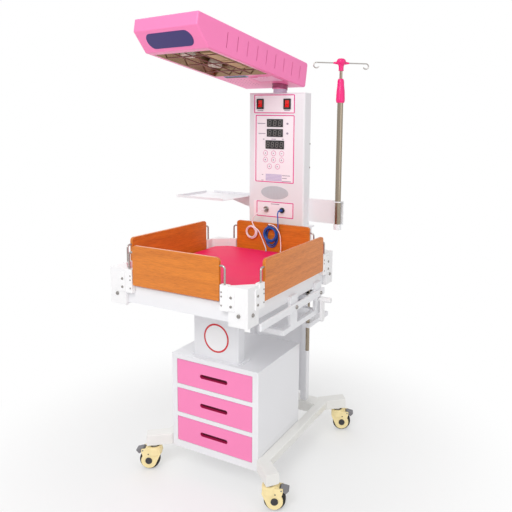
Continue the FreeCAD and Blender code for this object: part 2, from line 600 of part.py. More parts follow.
def mattress():
    """Plain pad with cut corners; its crown and seams come with the cover."""
    x, y = "mattress_half_x", "mattress_half_y"
    cut_x = "corner_x - corner_size_x - mattress_corner_gap"
    cut_y = "corner_y - corner_size_y - mattress_corner_gap"
    points = [(cut_x, f"-{y}"), (x, f"-({cut_y})"), (x, cut_y), (cut_x, y),
              (f"-({cut_x})", y), (f"-{x}", cut_y), (f"-{x}", f"-({cut_y})"), (f"-({cut_x})", f"-{y}")]
    pad = slab("XY_Plane", points, "mattress_low", "mattress_high - mattress_low")
    pad = soften(pad, "mattress_round", lambda edge: not runs_along(edge, Z_AXIS)
                 and middle(edge).z > size("mattress_high - 1"))
    node("mattress", pad)


def wall_panel(name, lengthwise, side):
    """Wooden side wall with rounded corners and its two bent steel rods."""
    corner = "corner_size_x" if lengthwise else "corner_size_y"
    outer = "corner_x" if lengthwise else "corner_y"
    half = f"{outer} - {corner} - bracket_body - wall_clear"
    deck = "deck_half_y" if lengthwise else "deck_half_x"
    near, far = f"{deck} + wall_gap", f"{deck} + wall_gap + wall_thick"
    depth = "wall_thick"
    role = "XZ_Plane" if lengthwise else "YZ_Plane"
    if lengthwise:
        start = far if side > 0 else f"-({near})"
    else:
        start = near if side > 0 else f"-({far})"
    panel = slab(role, rectangle((f"-({half})", half), ("wall_low", "wall_high")), start, depth)
    thin = Y_AXIS if lengthwise else X_AXIS
    panel = soften(panel, "wall_corner", lambda edge: runs_along(edge, thin)
                   and middle(edge).z > size("wall_high - 1"))
    panel = soften(panel, "wall_foot_corner", lambda edge: runs_along(edge, thin)
                   and middle(edge).z < size("wall_low + 1"))
    panel = soften(panel, "2", lambda edge: not runs_along(edge, thin))
    lowered = Vector(0, 0, -size("wall_right_down")) if name == "right" else Vector()
    node(f"wall_{name}", panel).Placement.Base = lowered
    middle_plane = side * size(f"{deck} + wall_gap + wall_thick / 2")
    edge_at, turn_at = size(half), size(f"{outer} - {corner} - bracket_body / 2")
    wires = []
    for end in (-1, 1):
        path = [(end * edge_at, size("wire_exit")), (end * turn_at, size("wire_exit")),
                (end * turn_at, size("wire_low"))]
        points = [(across, middle_plane, up) if lengthwise else (middle_plane, across, up) for across, up in path]
        wires.append(tube(points, size("wire_radius"), size("wire_bend"))[0])
    node(f"wall_rods_{name}", *wires).Placement.Base = lowered


WALLS = [("front", True, -1), ("back", True, 1), ("left", False, -1), ("right", False, 1)]


def wall_brackets():
    """Eight guide brackets: a bored block beside each wall and a flange on the corner post."""
    brackets, bolts = [], []
    for name, lengthwise, side in WALLS:
        corner = "corner_size_x" if lengthwise else "corner_size_y"
        outer = "corner_x" if lengthwise else "corner_y"
        face = "corner_y" if lengthwise else "corner_x"
        deck = "deck_half_y" if lengthwise else "deck_half_x"
        inner_end, outer_end = f"{outer} - {corner} - bracket_body", f"{outer} - {corner}"
        for end in (-1, 1):
            along = mirrored_pair(inner_end, outer_end, end)
            away = mirrored_pair(deck, f"{face} + bracket_plate", side)
            flange_along = mirrored_pair(outer_end, f"{outer_end} + bracket_flange", end)
            flange_away = mirrored_pair(face, f"{face} + bracket_plate", side)
            height = ("bracket_low", "bracket_high")
            flange_height = ("bracket_low + 3", "bracket_high - 14")
            if lengthwise:
                body, flange = box(along, away, height), box(flange_along, flange_away, flange_height)
            else:
                body, flange = box(away, along, height), box(flange_away, flange_along, flange_height)
            body = rounded(body, "2.5", lambda edge: runs_along(edge, Z_AXIS))
            wire_along = f"{end} * ({inner_end} + bracket_body / 2)"
            wire_away = f"{side} * ({deck} + wall_gap + wall_thick / 2)"
            bore_at = (wire_along, wire_away) if lengthwise else (wire_away, wire_along)
            bore = bar(UPRIGHT, "wire_radius + wire_clear", "bracket_high - bracket_low", *bore_at, "bracket_low")
            brackets.append(cut(join(body, flange), bore))
            head_along = f"{end} * ({outer_end} + bracket_flange / 2)"
            for height_at in ("bracket_low + 18", "bracket_low + 48"):
                bolts.append(bolt_head("small_bolt_radius", "small_bolt_head", lengthwise, side, head_along,
                                       f"{face} + bracket_plate", height_at))
            bolts.append(bolt_head("bolt_radius", "bolt_head", lengthwise, side,
                                   f"{end} * ({outer} - {corner} / 2 + 3)", face, "corner_low + 39"))
    node("wall_brackets", *brackets)
    node("corner_bolts", *bolts)


def bolt_head(radius, height, lengthwise, side, along, face, up):
    """A domed bolt head on an outward face."""
    start = face if side > 0 else f"-({face}) - {height}"
    if lengthwise:
        head = bar(ALONG_Y, radius, height, along, start, up)
    else:
        head = bar(ALONG_X, radius, height, start, along, up)
    outward = Vector(0, side, 0) if lengthwise else Vector(side, 0, 0)
    edge_at = size(face) + size(height)
    return rounded(head, f"{height} * 0.6", lambda edge: abs(middle(edge).dot(outward) - edge_at) < 0.01
                   and not runs_along(edge, outward))


def side_rails():
    """On each side an accessory rail on two straps; on the right also the frame for a film cassette."""
    groups = []
    for side in (-1, 1):
        inner, outer = "deck_half_x", "deck_half_x + strap_thick"
        rail_x = mirrored_pair(outer, f"{outer} + rail_thick", side)
        rail_mid = "rail_low + rail_height / 2"
        rail = box(rail_x, ("rail_front", "rail_rear"), ("rail_low", "rail_low + rail_height"))
        pieces = [rounded(rail, "rail_thick * 0.45", lambda edge: runs_along(edge, Z_AXIS)
                          or runs_along(edge, Y_AXIS))]
        for place in ("strap_front_y", "strap_rear_y"):
            y = (f"{place} - strap_half", f"{place} + strap_half")
            foot = "frame_low" if side > 0 else "rail_low - 4"
            pieces.append(box(mirrored_pair(inner, outer, side), y, (foot, "strap_top")))
            head = bar(ALONG_X, "bolt_radius", "bolt_head", f"{outer} + rail_thick" if side > 0
                       else f"-({outer} + rail_thick + bolt_head)", place, rail_mid)
            pieces.append(head)
        if side < 0:
            groups.append(join(*pieces))
            continue
        frame_z = ("frame_low", "frame_low + frame_height")
        rear = "strap_rear_y"
        pieces.append(box((f"{outer} - frame_bar", outer), ("frame_front", rear), frame_z))
        legs_x = (f"{outer} - frame_reach", outer)
        pieces.append(box(legs_x, ("frame_front", "frame_front + frame_bar"), frame_z))
        pieces.append(box(legs_x, (f"{rear} - frame_bar", rear), frame_z))
        groups.append(cut(join(*pieces), bar(ALONG_X, "lever_shaft_radius + pin_clear", "strap_thick", inner,
                                             "lever_y", "lever_z")))
    node("side_rails", *groups)


def tilt_lock():
    """Slotted clamp block that runs along the fixed rod, and the lever whose shaft closes it."""
    x = ("rod_x - lock_half_x", "rod_x + lock_half_x")
    block = box(x, ("lock_front", "lock_rear"), ("lock_low", "lock_low + lock_height"))
    foot = box(x, ("strap_rear_y - frame_bar + 1", "strap_rear_y - 1"), ("frame_low + frame_height", "lock_low + 2"))
    slot = box(("rod_x - rod_radius - slot_clear", "rod_x + rod_radius + slot_clear"), ("slot_front", "slot_rear"),
               ("lock_low", "lock_low + lock_height"))
    bore = bar(ALONG_X, "lever_shaft_radius + pin_clear", "2 * lock_half_x", x[0], "lever_y", "lever_z")
    node("tilt_clamp", cut(join(block, foot), slot, bore))
    inner = "deck_half_x + strap_thick + lever_gap"
    shaft = bar(ALONG_X, "lever_shaft_radius", f"{inner} - rod_x + lock_half_x", x[0], "lever_y", "lever_z")
    hub = bar(ALONG_X, "hub_radius", f"hub_out - ({inner})", inner, "lever_y", "lever_z")
    hub = rounded(hub, "2.5", lambda edge: not runs_along(edge, X_AXIS) and middle(edge).x > size("hub_out - 1"))
    blade_x = f"{inner} + rail_thick + 1"
    blade = slab("YZ_Plane", [("lever_y - lever_width * 0.36", "lever_z"),
                              ("lever_y - lever_width / 2", "lever_z - lever_length"),
                              ("lever_y + lever_width / 2", "lever_z - lever_length"),
                              ("lever_y + lever_width * 0.36", "lever_z")], blade_x, "lever_thick")
    blade = soften(blade, "lever_width * 0.4", lambda edge: runs_along(edge, X_AXIS)
                   and middle(edge).z < size("lever_z - lever_length + 1"))
    node("tilt_lever", join(shaft, hub, blade))


# Control box and its front
def control_box():
    """Tall housing with pockets for the two rocker switches."""
    case = box(("box_x - box_half_x", "box_x + box_half_x"), ("box_front", "box_front + box_depth"),
               ("box_low", "box_high"))
    case = rounded(case, "box_round", lambda edge: runs_along(edge, Z_AXIS)
                   or (runs_along(edge, X_AXIS) and middle(edge).z > size("box_high - 1")))
    pockets = []
    for x in ("rocker_left_x", "rocker_right_x"):
        half_x, half_z = "rocker_half_x + rocker_gap", "rocker_half_z + rocker_gap"
        pockets.append(box((f"{x} - ({half_x})", f"{x} + {half_x}"), ("box_front", "box_front + rocker_deep"),
                           (f"rocker_z - ({half_z})", f"rocker_z + {half_z}")))
        pockets.append(bar(ALONG_X, "rocker_pin_radius + pin_clear", "2 * (rocker_half_x + rocker_pin_in) + 0.4",
                           f"{x} - rocker_half_x - rocker_pin_in - 0.2", "box_front + 4", "rocker_z"))
    node("control_box", cut(case, *pockets))


def rocker(name, x):
    """Rocker button with a shallow V face, at rest on its switched-on side."""
    half = "rocker_half_z"
    key = slab("YZ_Plane", [("-9", half), ("-5.5", "0"), ("-9", f"-{half}"), ("3", f"-{half} + 3"),
                            ("3", f"{half} - 3")], "-rocker_half_x", "2 * rocker_half_x")
    pin = bar(ALONG_X, "rocker_pin_radius", "2 * (rocker_half_x + rocker_pin_in)",
              "-rocker_half_x - rocker_pin_in", "0", "0")
    place = Vector(size(x), size("box_front + 4"), size("rocker_z"))
    turned = FreeCAD.Rotation(X_AXIS, -size("rocker_turn"))
    node(f"rocker_{name}", join(key, pin)).Placement = FreeCAD.Placement(place, turned)


def label_plate(low, high):
    """A thin front plate with rounded corners."""
    plate = slab("XZ_Plane", rectangle(("label_left", "label_right"), (low, high)), "box_front", "label_thick")
    return soften(plate, "label_round", lambda edge: runs_along(edge, Y_AXIS))


def front_labels():
    """Three overlay plates; the middle one has eight domed keys moulded in one film."""
    one_low = "label_top - label_one_height"
    two_low = f"{one_low} - label_gap - label_two_height"
    switch_plate = label_plate(one_low, "label_top")
    half_x, half_z = "rocker_half_x + rocker_gap", "rocker_half_z + rocker_gap"
    windows = [box((f"{x} - ({half_x})", f"{x} + {half_x}"), ("box_front - label_thick", "box_front"),
                   (f"rocker_z - ({half_z})", f"rocker_z + {half_z}")) for x in ("rocker_left_x", "rocker_right_x")]
    face = "box_front - label_thick"
    keys = []
    for row, columns in enumerate(((-1, 0, 1), (-1, 0, 1), (-0.5, 0.5))):
        for column in columns:
            key = bar(ALONG_Y, "key_radius", "key_out", f"key_middle_x + {column} * key_pitch_x",
                      f"{face} - key_out", f"key_z_top - {row} * key_pitch_z")
            keys.append(rounded(key, "key_out * 0.6", lambda edge: middle(edge).y < size(f"{face} - key_out + 0.1")
                                and not runs_along(edge, Y_AXIS)))
    key_plate = join(label_plate(two_low, f"{one_low} - label_gap"), *keys)
    socket_plate = label_plate("label_three_low", "label_three_low + label_three_height")
    node("front_labels", cut(switch_plate, *windows), key_plate, socket_plate)


def front_fittings():
    """Black fittings on the plates: switch frames, display windows and socket rings."""
    face = "box_front - label_thick"
    pieces = []
    for x in ("rocker_left_x", "rocker_right_x"):
        half_x, half_z = "rocker_half_x + rocker_gap", "rocker_half_z + rocker_gap"
        outer = slab("XZ_Plane", rectangle((f"{x} - ({half_x}) - rocker_frame", f"{x} + {half_x} + rocker_frame"),
                                           (f"rocker_z - ({half_z}) - rocker_frame",
                                            f"rocker_z + {half_z} + rocker_frame")), face, "rocker_frame_out")
        outer = soften(outer, "1.5", lambda edge: runs_along(edge, Y_AXIS)
                       or middle(edge).y < size(f"{face} - rocker_frame_out + 0.1"))
        inner = box((f"{x} - ({half_x})", f"{x} + {half_x}"), (f"{face} - rocker_frame_out", face),
                    (f"rocker_z - ({half_z})", f"rocker_z + {half_z}"))
        pieces.append(cut(outer, inner))
    for z in ("display_z_top", "display_z_middle", "display_z_low"):
        window = slab("XZ_Plane", rectangle(("display_x - display_half_x", "display_x + display_half_x"),
                                            (f"{z} - display_half_z", f"{z} + display_half_z")), face,
                      "display_out")
        pieces.append(soften(window, "1", lambda edge: runs_along(edge, Y_AXIS)))
    for x in ("socket_left_x", "socket_right_x"):
        collar = bar(ALONG_Y, "socket_radius", "socket_out", x, f"{face} - socket_out", "socket_z")
        collar = rounded(collar, "1.5", lambda edge: middle(edge).y < size(f"{face} - socket_out + 0.1")
                         and not runs_along(edge, Y_AXIS))
        pieces.append(cut(collar, bar(ALONG_Y, "socket_bore", "socket_out - 1", x, f"{face} - socket_out",
                                      "socket_z")))
    node("front_fittings", *pieces)


# Heater hood: drawn level about its own middle, set aside of the neck, raised at the front and turned on the neck
def hood_place():
    rise = FreeCAD.Rotation(X_AXIS, -size("hood_rise"))
    turn = FreeCAD.Rotation(Z_AXIS, size("hood_turn"))
    neck = Vector(size("box_x"), size("box_front + box_depth / 2"), size("neck_top"))
    aside = FreeCAD.Placement(Vector(size("hood_shift"), 0, 0), FreeCAD.Rotation())
    return FreeCAD.Placement(neck, turn.multiply(rise)).multiply(aside)


def hood_shell():
    """Folded sheet hood: slanted nose, side vents, an open mouth below and its neck collar."""
    half = "hood_half"
    points = [("hood_front_low", "0"), ("hood_rear", "0"), ("hood_rear", "hood_tail_height"),
              ("hood_front", "hood_height"), ("hood_front", "hood_brow")]
    shell = slab("YZ_Plane", points, f"-{half}", f"2 * {half}")
    shell = soften(shell, "hood_round", lambda edge: runs_along(edge, X_AXIS)
                   and middle(edge).y > size("hood_rear - 1"))
    shell = soften(shell, "hood_edge", lambda edge: abs(abs(middle(edge).x) - size(half)) < 0.01
                   or middle(edge).y < size("hood_front_low + 1"))
    wall = "hood_wall"
    inside = slab("YZ_Plane", [("hood_front_low + 4", wall), (f"hood_rear - {wall}", wall),
                               (f"hood_rear - {wall}", f"hood_tail_height - {wall}"),
                               (f"hood_front + {wall}", f"hood_height - {wall}"),
                               (f"hood_front + {wall}", "hood_brow + 1")],
                  f"-{half} + {wall}", f"2 * ({half} - {wall})")
    mouth = box(("-mouth_half", "mouth_half"), ("mouth_front", "mouth_rear"), ("-1", f"{wall} + 1"))
    tools = [inside, mouth]
    for number in range(9):
        at = f"vent_first + {number} * vent_pitch"
        tools.append(box((f"-{half} - 1", f"{half} + 1"), (f"{at} - vent_width / 2", f"{at} + vent_width / 2"),
                         ("vent_low", "vent_high")))
    hollow = cut(shell, *tools)
    hollow.Placement = hood_place()
    return done(hollow)


def hood_and_neck():
    """Round tube on the box with a spigot, and the hood whose collar turns on it."""
    centre = ("box_x", "box_front + box_depth / 2")
    column = bar(UPRIGHT, "neck_radius", "neck_high - box_high", *centre, "box_high")
    spigot = bar(UPRIGHT, "spigot_radius", "neck_top - spigot_short - box_high", *centre, "box_high")
    node("neck_tube", join(column, spigot))
    collar = bar(UPRIGHT, "collar_radius", "neck_top + 20 - neck_high", *centre, "neck_high + collar_gap")
    bore = bar(UPRIGHT, "spigot_radius + pin_clear", "neck_top - spigot_short + 0.3 - neck_high", *centre,
               "neck_high")
    above = box(("-hood_shift - 2 * collar_radius", "-hood_shift + 2 * collar_radius"), ("-2 * collar_radius", "2 * collar_radius"),
                ("0", "2 * collar_radius"))
    above.Placement = hood_place()
    node("hood_shell", join(hood_shell(), cut(collar, bore, done(above))))


def hood_inside():
    """Polished reflector tray, ceramic heater plates, two lamps and the wire guard."""
    place = hood_place()
    wall, top = "reflector_wall", "reflector_height"
    half = "mouth_half - reflector_gap"
    front, rear = "mouth_front + reflector_gap", "mouth_rear - reflector_gap"
    flare = "reflector_flare"
    flange = box((f"-({half}) - reflector_flange", f"{half} + reflector_flange"),
                 (f"{front} - reflector_flange", f"{rear} + reflector_flange"),
                 ("hood_wall", f"hood_wall + {wall}"))
    outer = tapered_tray(half, front, rear, "0")
    inner = tapered_tray(half, front, rear, wall)
    node("hood_reflector", cut(join(outer, flange), inner)).Placement = place
    heaters, lamps = [], []
    ceiling = f"{top} - {wall}"
    for y in ("heater_front", "heater_rear"):
        plate = box(("heater_x - heater_half_x", "heater_x + heater_half_x"),
                    (f"{y} - heater_half_y", f"{y} + heater_half_y"), ("heater_z", "heater_z + heater_thick"))
        plate = rounded(plate, "3", lambda edge: middle(edge).z < size("heater_z + 1"))
        stem = bar(UPRIGHT, "heater_stem", f"{ceiling} - heater_z - heater_thick", "heater_x", y,
                   "heater_z + heater_thick")
        heaters.append(join(plate, stem))
    node("heater_plates", *heaters).Placement = place
    for y in ("lamp_front", "lamp_rear"):
        bulb = cut(ball("lamp_radius", "lamp_x", y, "lamp_z"),
                   box(("lamp_x - lamp_radius", "lamp_x + lamp_radius"), (f"{y} - lamp_radius", f"{y} + lamp_radius"),
                       ("lamp_z - lamp_radius", "lamp_z - lamp_face")))
        cap = bar(UPRIGHT, "lamp_neck", f"{ceiling} - lamp_z", "lamp_x", y, "lamp_z")
        over = box(("lamp_x - lamp_radius", "lamp_x + lamp_radius"), (f"{y} - lamp_radius", f"{y} + lamp_radius"),
                   (ceiling, f"{ceiling} + lamp_radius"))
        lamps.append(cut(join(bulb, cap), over))
    node("hood_lamps", *lamps).Placement = place
    wire, z = "grille_wire", "grille_z"
    inset = f"{wall} + {flare} * ({z} + {wire} + 1) / ({top} - {wall} + 1) + 0.2"
    start = f"{front} + {inset}"
    wires = [bar(ALONG_Y, wire, f"({rear}) - ({front}) - 2 * ({inset})", x, start, z)
             for x in ("-grille_half", "0", "grille_half")]
    across = f"{half} - ({inset})"
    wires += [bar(ALONG_X, wire, f"2 * ({across})", f"-({across})", y, z)
              for y in ("mouth_front + grille_half", "(mouth_front + mouth_rear) / 2", "mouth_rear - grille_half")]
    node("hood_guard", join(*wires)).Placement = place


def tapered_tray(half, front, rear, wall):
    """Solid between the mouth and the smaller ceiling of the reflector, or its inside if a wall is given."""
    low = 0 if wall == "0" else -1

    def outline(level, lean):
        side = size(half) - size(wall) - lean
        near, far = size(front) + size(wall) + lean, size(rear) - size(wall) - lean
        corners = [Vector(x, y, level) for x, y in ((-side, near), (side, near), (side, far), (-side, far))]
        return Part.makePolygon(corners + corners[:1])

    mouth, ceiling = outline(low, 0), outline(size("reflector_height") - size(wall), size("reflector_flare"))
    return shape_of(Part.makeLoft([mouth, ceiling], True, True))


# Tray and drip pole
def instrument_tray():
    """Shelf with three separate rims and a triangular gusset on the side of the box."""
    left, right = "shelf_centre_x - shelf_half_x", "shelf_centre_x + shelf_half_x"
    z = ("shelf_z", "shelf_z + shelf_thick")
    rim_z = ("shelf_z", "shelf_z + rim_height")
    pieces = [box((left, right), ("shelf_front", "shelf_rear"), z),
              box((left, right), ("shelf_front", "shelf_front + shelf_thick"), rim_z),
              box((f"{left} + rim_gap", right), ("shelf_rear - shelf_thick", "shelf_rear"), rim_z),
              box((left, f"{left} + shelf_thick"), ("shelf_front", "shelf_rear - rim_gap"), rim_z)]
    wall = "box_x - box_half_x"
    pieces.append(box((f"{wall} - shelf_foot_thick", wall), ("box_front + 8", "shelf_rear"),
                      ("shelf_z - gusset_height", "shelf_z + rim_height")))
    pieces.append(slab("XZ_Plane", [(f"{wall} - shelf_foot_thick + 1", "shelf_z - gusset_height"),
                                    (f"{wall} - shelf_foot_thick + 1", "shelf_z + 1"),
                                    (f"{wall} - gusset_length", "shelf_z + 1"),
                                    (f"{wall} - gusset_length", "shelf_z - 6")],
                       "gusset_y + gusset_thick", "gusset_thick"))
    node("instrument_tray", join(*pieces))


def drip_pole():
    """Bracket with a ring and a cup, outer tube, tapered grip, sliding mast and twin hooks."""
    plate = box(("box_x + box_half_x", "pole_x + lug_half"), ("plate_y", "plate_y + plate_thick"),
                ("plate_low", "plate_high"))
    lug = box(("pole_x - lug_half", "pole_x + lug_half"), ("pole_y - lug_half", "plate_y + 1"),
              ("plate_high - lug_thick", "plate_high"))
    lug = rounded(lug, "lug_half * 0.7", lambda edge: runs_along(edge, Z_AXIS)
                  and middle(edge).y < size("pole_y - lug_half + 1"))
    cup = bar(UPRIGHT, "cup_radius", "cup_high - cup_low", "pole_x", "pole_y", "cup_low")
    cup = rounded(cup, "3", lambda edge: middle(edge).z < size("cup_low + 1") and not runs_along(edge, Z_AXIS))
    tie = box(("pole_x - lug_half", "pole_x + lug_half"), ("pole_y + pole_radius - 1", "plate_y + 1"),
              ("cup_high - lug_thick", "cup_high"))
    bore = bar(UPRIGHT, "pole_radius + pole_slip", "plate_high - pole_low", "pole_x", "pole_y", "pole_low")
    node("pole_bracket", cut(join(plate, lug, cup, tie), bore))
    outer = bar(UPRIGHT, "pole_radius", "pole_high - pole_low", "pole_x", "pole_y", "pole_low")
    hollow = bar(UPRIGHT, "pole_bore", "pole_high - mast_low + mast_sink", "pole_x", "pole_y",
                 "mast_low - mast_sink")
    node("pole_tube", cut(outer, hollow))
    sleeve = turned_about_pole([("pole_radius + grip_wall", "grip_low"), ("grip_radius - 0.9", "grip_low + 4"),
                                ("grip_radius", "grip_low + 22"), ("grip_radius - 1.1", "grip_low + 48"),
                                ("grip_radius - 4.1", "grip_high - 21"), ("mast_radius + grip_end + 1.2", "grip_high - 2"),
                                ("mast_radius + grip_end", "grip_high")])
    socket = bar(UPRIGHT, "pole_radius + pole_slip", "pole_high - grip_low", "pole_x", "pole_y", "grip_low")
    guide = bar(UPRIGHT, "mast_radius + pole_fit", "grip_high - grip_low", "pole_x", "pole_y", "grip_low")
    node("pole_grip", cut(sleeve, socket, guide))
    mast = bar(UPRIGHT, "mast_radius", "head_low - mast_low", "pole_x", "pole_y", "mast_low")
    node("pole_mast", mast)
    head = turned_about_pole([("head_neck", "head_low"), ("head_neck - 0.2", "head_low + 12"),
                              ("head_neck + 1", "head_high - 30"), ("head_radius - 1", "head_high - 21"),
                              ("head_radius", "head_high - 14"), ("head_radius - 2.5", "head_high - 5"),
                              ("head_radius - 11", "head_high")])
    hooks = []
    for turn in (size("hook_turn"), size("hook_turn") + 180):
        hooks.append(hook(turn))
    node("pole_hooks", join(head, *hooks))


def turned_about_pole(outline):
    """A solid of revolution about the pole: a smooth outside through points of radius and height."""
    across = Vector(size("pole_x"), size("pole_y"), 0)
    outline = [(size(radius), size(up)) for radius, up in outline]
    outside = Part.BSplineCurve()
    outside.interpolate([across + Vector(radius, 0, up) for radius, up in outline])
    low, high = across + Vector(0, 0, outline[0][1]), across + Vector(0, 0, outline[-1][1])
    edges = [Part.makeLine(low, outside.StartPoint), outside.toShape(), Part.makeLine(outside.EndPoint, high),
             Part.makeLine(high, low)]
    return shape_of(Part.Face(Part.Wire(edges)).revolve(across, Z_AXIS, 360))


def hook(turn):
    """A wire arm that ends in a curl to hang a bag from."""
    reach, curl, z = size("hook_reach"), size("hook_curl"), size("hook_z")
    centre_x = reach - curl
    start = Vector(size("head_neck"), 0, z)
    bend = [Vector(centre_x + curl * math.sin(angle), 0, z - curl + curl * math.cos(angle))
            for angle in (math.radians(step) for step in (0, 125, 250))]
    path = Part.Wire([Part.makeLine(start, bend[0]), Part.Arc(*bend).toShape()])
    section = Part.Wire(Part.makeCircle(size("hook_wire"), start, X_AXIS))
    wire = path.makePipeShell([section], True, False, 1)
    place = FreeCAD.Placement(Vector(size("pole_x"), size("pole_y"), 0), FreeCAD.Rotation(Z_AXIS, turn))
    wire.Placement = place
    return shape_of(wire)


# Sensor cords: each route is a list of points chosen by hand, in the drawing's own frame
WHITE_LEAD = [(-54, 332.1, 1018), (-54.3, 322, 1017.6), (-60, 310, 1011), (-75, 305, 1000), (-88, 305, 987),
              (-96, 305.5, 974), (-99.5, 306, 962), (-100, 305, 951.4)]
BLUE_LEAD = [(27, 332.1, 1018), (27.2, 322, 1017.6), (31, 309, 1009), (35, 304, 993), (36.5, 303, 977),
             (37.3, 303, 962), (37.9, 303, 949), (38.6, 303, 936.5)]
WHITE_TAIL = [(-74.2, 304, 941.8), (-62, 303.5, 931), (-54, 303, 916), (-44, 303, 897), (-34, 302, 878),
              (-23, 296, 864), (-11, 284, 856.4), (0, 268, 855.1), (8, 252, 855.1)]
PROBE_LEAD = [(-6, 301, 958.2), (7, 300, 960), (20, 298, 958), (32, 296.5, 950.5), (42, 296.5, 939),
              (49, 298, 924), (52, 300, 906), (53, 300, 884), (56, 297, 867), (63, 284, 856.6),
              (73, 264, 855.1), (84, 242, 855.1)]


def sensor_cords():
    """Two plugs, their leads, the two hanging coils, the thin ends and their sensor tips."""
    face = "box_front - label_thick"
    plugs = []
    for x in ("socket_left_x", "socket_right_x"):
        start = f"{face} - socket_out - plug_length + 6"
        plug = bar(ALONG_Y, "plug_radius", "plug_length", x, start, "socket_z")
        plugs.append(rounded(plug, "1.5", lambda edge: middle(edge).y < size(start) + 0.1
                             and not runs_along(edge, Y_AXIS)))
    node("sensor_plugs", *plugs)
    report = []
    routes = (("white_lead", WHITE_LEAD, "white_cord_radius"), ("blue_lead", BLUE_LEAD, "blue_cord_radius"))
    for name, route, radius in routes:
        solid, length, radii = tube(route, size(radius))
        node(name, solid)
        report.append((name, length, radii))
    tails = []
    for name, route in (("white_tail", WHITE_TAIL), ("probe_lead", PROBE_LEAD)):
        solid, length, radii = tube(route, size("thin_cord_radius"))
        tails.append(solid)
        report.append((name, length, radii))
    node("sensor_tails", *tails)
    node("white_coil", ring(ALONG_Y, "white_coil_ring", "white_coil_thick", "white_coil_x", "coil_y",
                            "white_coil_z"))
    node("blue_coil", join(
        ring(ALONG_Y, "blue_coil_ring", "blue_coil_thick", "blue_coil_x", "coil_y", "blue_coil_z"),
        ring(ALONG_Y, "blue_loop_ring", "blue_loop_thick", "blue_coil_x", "coil_y + blue_loop_back",
             "blue_coil_z - blue_loop_drop")))
    tips = []
    for route in (WHITE_TAIL, PROBE_LEAD):
        end = Vector(*route[-1])
        along = (end - Vector(*route[-2])).normalize()
        tips.append(shape_of(Part.makeCylinder(size("tip_radius"), size("tip_length"), end, along)))
    node("sensor_tips", *tips)
    for name, length, radii in report:
        print(name, f"length {length:.0f} mm, smallest bend {min(radii):.1f} mm")


castors()
base_frame()
cabinet_shell()
for number, name in enumerate(DRAWERS):
    drawer(number, name)
support_column()
rear_posts()
posts = corner_posts()
deck_pan(posts)
mattress()
for name, lengthwise, side in WALLS:
    wall_panel(name, lengthwise, side)
wall_brackets()
side_rails()
tilt_lock()
control_box()
front_labels()
front_fittings()
rocker("left", "rocker_left_x")
rocker("right", "rocker_right_x")
hood_and_neck()
hood_inside()
instrument_tray()
drip_pole()
sensor_cords()

# Everything is moved so that the origin lies on the floor under the middle of the whole
CORD_NODES = {"sensor_plugs", "white_lead", "blue_lead", "sensor_tails", "white_coil", "blue_coil",
              "sensor_tips"}
doc.recompute()
for item in doc.Objects:
    if "Invalid" in item.State or "Error" in item.State:
        raise RuntimeError(f"{item.Label} failed: {item.State}")
whole = FreeCAD.BoundBox()
for item in NODES:
    if item.Label not in CORD_NODES:
        whole.add(item.Shape.optimalBoundingBox())
home = Vector(-whole.Center.x, -whole.Center.y, -whole.ZMin)
print("moved by", [round(value, 3) for value in home], "size", round(whole.XLength, 1), round(whole.YLength, 1),
      round(whole.ZLength, 1), "nodes", len(NODES))
for item in NODES:
    item.Placement = FreeCAD.Placement(home, UPRIGHT).multiply(item.Placement)
doc.recompute()
for item in NODES:
    if item.Shape.isNull() or not item.Shape.isValid():
        raise RuntimeError(f"{item.Label} has no valid shape")
    item.Shape.exportStep(f"parts/{item.Label}.step")
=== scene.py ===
# %% [markdown]
# # An infant radiant warmer, dressed from its CAD model
# The CAD model gives every rigid form at its real size. This lesson adds what it leaves
# out: finishes, printed fronts, screws, the padded mattress and the two sensor cords.
# Everything is in metres, in the CAD model's own frame: X right, Y back, Z up.

# %% Load the model
import math

import bmesh
import bpy
from mathutils import Matrix, Vector


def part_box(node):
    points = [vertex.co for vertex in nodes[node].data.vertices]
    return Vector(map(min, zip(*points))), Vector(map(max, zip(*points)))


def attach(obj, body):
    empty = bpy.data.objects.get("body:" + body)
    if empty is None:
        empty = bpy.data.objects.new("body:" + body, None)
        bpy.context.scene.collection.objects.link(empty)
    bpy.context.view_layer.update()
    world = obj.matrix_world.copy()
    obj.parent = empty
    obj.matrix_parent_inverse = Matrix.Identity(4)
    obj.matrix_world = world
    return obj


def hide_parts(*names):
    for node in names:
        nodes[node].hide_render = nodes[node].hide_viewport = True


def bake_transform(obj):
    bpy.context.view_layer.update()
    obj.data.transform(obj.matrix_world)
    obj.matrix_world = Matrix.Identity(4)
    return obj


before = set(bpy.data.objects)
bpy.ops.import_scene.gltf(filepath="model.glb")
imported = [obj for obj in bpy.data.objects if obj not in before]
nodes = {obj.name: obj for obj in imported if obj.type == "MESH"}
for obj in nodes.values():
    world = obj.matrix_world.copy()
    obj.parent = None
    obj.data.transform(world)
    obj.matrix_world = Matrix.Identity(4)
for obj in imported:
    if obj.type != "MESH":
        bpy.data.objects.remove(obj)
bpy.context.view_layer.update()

# %% [markdown]
# ## One ruler for both files
# The CAD file draws the warmer about the middle of its bed and then moves it. The low
# corner of the front wall is known in both, so the difference is the move. With it, a
# place can be given in the drawing's millimetres.

# %% The drawing's place in the model's frame
FRONT_WALL_LOW = Vector((-184.0, -326.8, 820.0))
shift = Vector(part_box("wall_front")[0]) - FRONT_WALL_LOW / 1000


def at(x, y, z):
    """A point of the drawing, in millimetres, as metres in the model's frame."""
    return Vector((x, y, z)) / 1000 + shift


print("shift", [round(v * 1000, 2) for v in shift])

# %% [markdown]
# ## The camera
# The straight edges of the cabinet, the bed and the control box give the photographer's
# place. The lens is long enough that the picture shows little distortion.

# %% Camera
PICTURE = 512
FOCAL_PIXELS, CENTRE_X, CENTRE_Y = 549.29, 322.22, 199.42
YAW, PITCH, ROLL = math.radians(25.36), math.radians(7.29), math.radians(1.18)
EYE = (1214.0, -1737.0, 1377.9)

